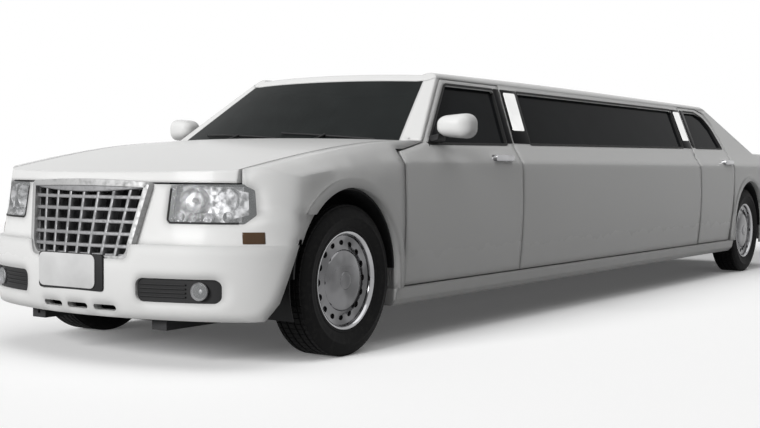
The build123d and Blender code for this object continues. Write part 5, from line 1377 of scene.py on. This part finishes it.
def cushion(name, size, channels):
    """A crowned pad about the origin with sewn channels across it."""
    bm = puffed(block(size, min(size) * 0.34), name)
    bmesh.ops.smooth_vert(bm, verts=bm.verts, factor=0.5, use_axis_x=True, use_axis_y=True, use_axis_z=True)
    thin = min(range(3), key=lambda axis: size[axis])
    across = 1 if thin == 0 else 0
    bm.normal_update()
    for vert in bm.verts:
        facing = max(0.0, abs(vert.normal[thin]) - 0.3)
        dip = 0.0
        for line in range(channels):
            away = vert.co[across] - size[across] * ((line + 1) / (channels + 1) - 0.5)
            dip += math.exp(-(away / CHANNEL_WIDTH) ** 2)
        vert.co -= vert.normal * (CHANNEL_DEPTH * facing * min(dip, 1.0))
    return bm


class LIMOUSINE_OT_seats(bpy.types.Operator):
    """Make the padded front seats, the side bench and the rear bench"""

    bl_idname = "limousine.seats"
    bl_label = "Seats"

    def execute(self, context):
        for name, centre, size, lean, channels, copies, step in PADS:
            form = rotated(cushion(name, size, channels), math.radians(-lean), "Y")
            for number in range(copies):
                bm = shifted(form.copy(), Vector(centre) + Vector(step) * number)
                piece = shaped(bm, f"{name}_{number}", "body", "seat_leather", sharp=math.pi)
                divide = piece.modifiers.new("smooth", "SUBSURF")
                divide.levels = 1
                divide.render_levels = 1
            form.free()
        for name, outline, start, width in BASES:
            shaped(soften(side_plate(outline, start, width), 0.016, 3), name, "body", "seat_leather")
        for name, centre, size in SIDE_BENCH:
            shaped(shifted(block(size, min(size) * 0.2), centre), name, "body", "seat_leather")
        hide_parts("front_seats")
        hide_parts("cabin_benches")
        return {"FINISHED"}


# Floor: radius, and the distances between which it fades out
FLOOR_RADIUS = 14.0
FLOOR_FADE = (12.5, 6.5)
# Suns: name, the way that they shine, share of the key light, spread in degrees
SUNS = [("key", (-0.88, 0.06, -0.36), 1.0, 24.0), ("top", (0.05, -0.28, -0.95), 0.22, 60.0)]
# Camera: place, then yaw, pitch and roll in degrees, and the width of its sensor in millimetres
CAMERA_PLACE = Vector((FRONT_AXLE + 4.762, 4.284, 0.908))
CAMERA_ANGLES = (213.924, -2.208, 0.359)
SENSOR_WIDTH = 36.0


def lay_floor(settings):
    """A pale round floor that fades out, and is darker for the light that it throws back."""
    bm = bmesh.new()
    bmesh.ops.create_circle(bm, cap_ends=True, segments=64, radius=FLOOR_RADIUS)
    mesh = bpy.data.meshes.new("floor")
    bm.to_mesh(mesh)
    bm.free()
    floor = bpy.data.objects.new("floor", mesh)
    bpy.context.scene.collection.objects.link(floor)
    ground = Finish("floor_paint", {"Roughness": 0.9, "Specular IOR Level": 0.0,
                                    "Emission Strength": settings.floor_lift})
    reach = ground.node("ShaderNodeVectorMath", {"operation": "LENGTH"}, {0: ground.place}, "Value")
    seen = ground.backdrop_seen()
    tone = ground.mix(ground.noise(30.0, 4.0), (0.97, 0.97, 0.97, 1), (1, 1, 1, 1))
    tone = ground.mix(seen, (0.30, 0.30, 0.30, 1), tone)
    glow = ground.mix(seen, (0, 0, 0, 1), (1, 1, 1, 1))
    fade = ground.between(reach, *FLOOR_FADE)
    mesh.materials.append(ground.feed(base_color=tone, emission_color=glow, alpha=fade))


def set_lights(settings):
    """Two soft suns, and a world that is white where it is seen and dim where it lights."""
    for name, way, share, spread in SUNS:
        lamp = bpy.data.lights.new(name, "SUN")
        lamp.energy = settings.key_light * share
        lamp.angle = math.radians(spread)
        sun = bpy.data.objects.new(name, lamp)
        sun.rotation_mode = "QUATERNION"
        sun.rotation_quaternion = Vector(way).to_track_quat("-Z", "Y")
        bpy.context.scene.collection.objects.link(sun)
    world = bpy.data.worlds.new("studio")
    world.use_nodes = True
    sky = Nodes(world.node_tree)
    strength = sky.backdrop_seen() * (1.0 - settings.fill_light) + settings.fill_light
    background = sky.tree.nodes["Background"]
    background.inputs["Color"].default_value = (1, 1, 1, 1)
    sky.tree.links.new(strength.socket, background.inputs["Strength"])
    bpy.context.scene.world = world


def set_camera(settings):
    """The camera at the photograph's place, looking along its yaw and pitch and turned by its roll."""
    yaw, pitch, roll = (math.radians(angle) for angle in CAMERA_ANGLES)
    forward = Vector((math.cos(yaw) * math.cos(pitch), math.sin(yaw) * math.cos(pitch), math.sin(pitch)))
    look = forward.to_track_quat("-Z", "Y").to_matrix().to_4x4()
    camera = bpy.data.objects.new("camera", bpy.data.cameras.new("camera"))
    camera.matrix_world = Matrix.Translation(CAMERA_PLACE) @ look @ Matrix.Rotation(roll, 4, "Z")
    camera.data.sensor_width = SENSOR_WIDTH
    camera.data.lens = settings.lens
    bpy.context.scene.collection.objects.link(camera)
    bpy.context.scene.camera = camera


class LIMOUSINE_OT_stage(bpy.types.Operator):
    """Set the floor, the light and the camera"""

    bl_idname = "limousine.stage"
    bl_label = "Stage"

    def execute(self, context):
        settings = context.scene.limousine
        lay_floor(settings)
        set_lights(settings)
        set_camera(settings)
        context.scene.view_settings.view_transform = "Standard"
        return {"FINISHED"}


PIECES = (LIMOUSINE_OT_finishes, LIMOUSINE_OT_tyres, LIMOUSINE_OT_wheels, LIMOUSINE_OT_headlamps,
          LIMOUSINE_OT_fog_lamps, LIMOUSINE_OT_nose_trim, LIMOUSINE_OT_nose_panels, LIMOUSINE_OT_window_trim,
          LIMOUSINE_OT_door_furniture, LIMOUSINE_OT_wipers, LIMOUSINE_OT_tail, LIMOUSINE_OT_controls,
          LIMOUSINE_OT_seats, LIMOUSINE_OT_stage)


class LIMOUSINE_PT_panel(bpy.types.Panel):
    """Lists the settings and the steps that dress the limousine"""

    bl_label = "Limousine"
    bl_space_type = "VIEW_3D"
    bl_region_type = "UI"
    bl_category = "Limousine"

    def draw(self, context):
        for key in LimousineSettings.__annotations__:
            self.layout.prop(context.scene.limousine, key)
        for piece in PIECES:
            self.layout.operator(piece.bl_idname)


CLASSES = (LimousineSettings, *PIECES, LIMOUSINE_PT_panel)


def register():
    """Adds the classes and the settings to Blender."""
    for each in CLASSES:
        bpy.utils.register_class(each)
    bpy.types.Scene.limousine = PointerProperty(type=LimousineSettings)


def unregister():
    """Takes them out again."""
    del bpy.types.Scene.limousine
    for each in reversed(CLASSES):
        bpy.utils.unregister_class(each)


def main():
    """Makes every piece in order."""
    register()
    bpy.context.view_layer.update()
    for piece in PIECES:
        group, step = piece.bl_idname.split(".")
        getattr(getattr(bpy.ops, group), step)()


if __name__ == "__main__":
    main()
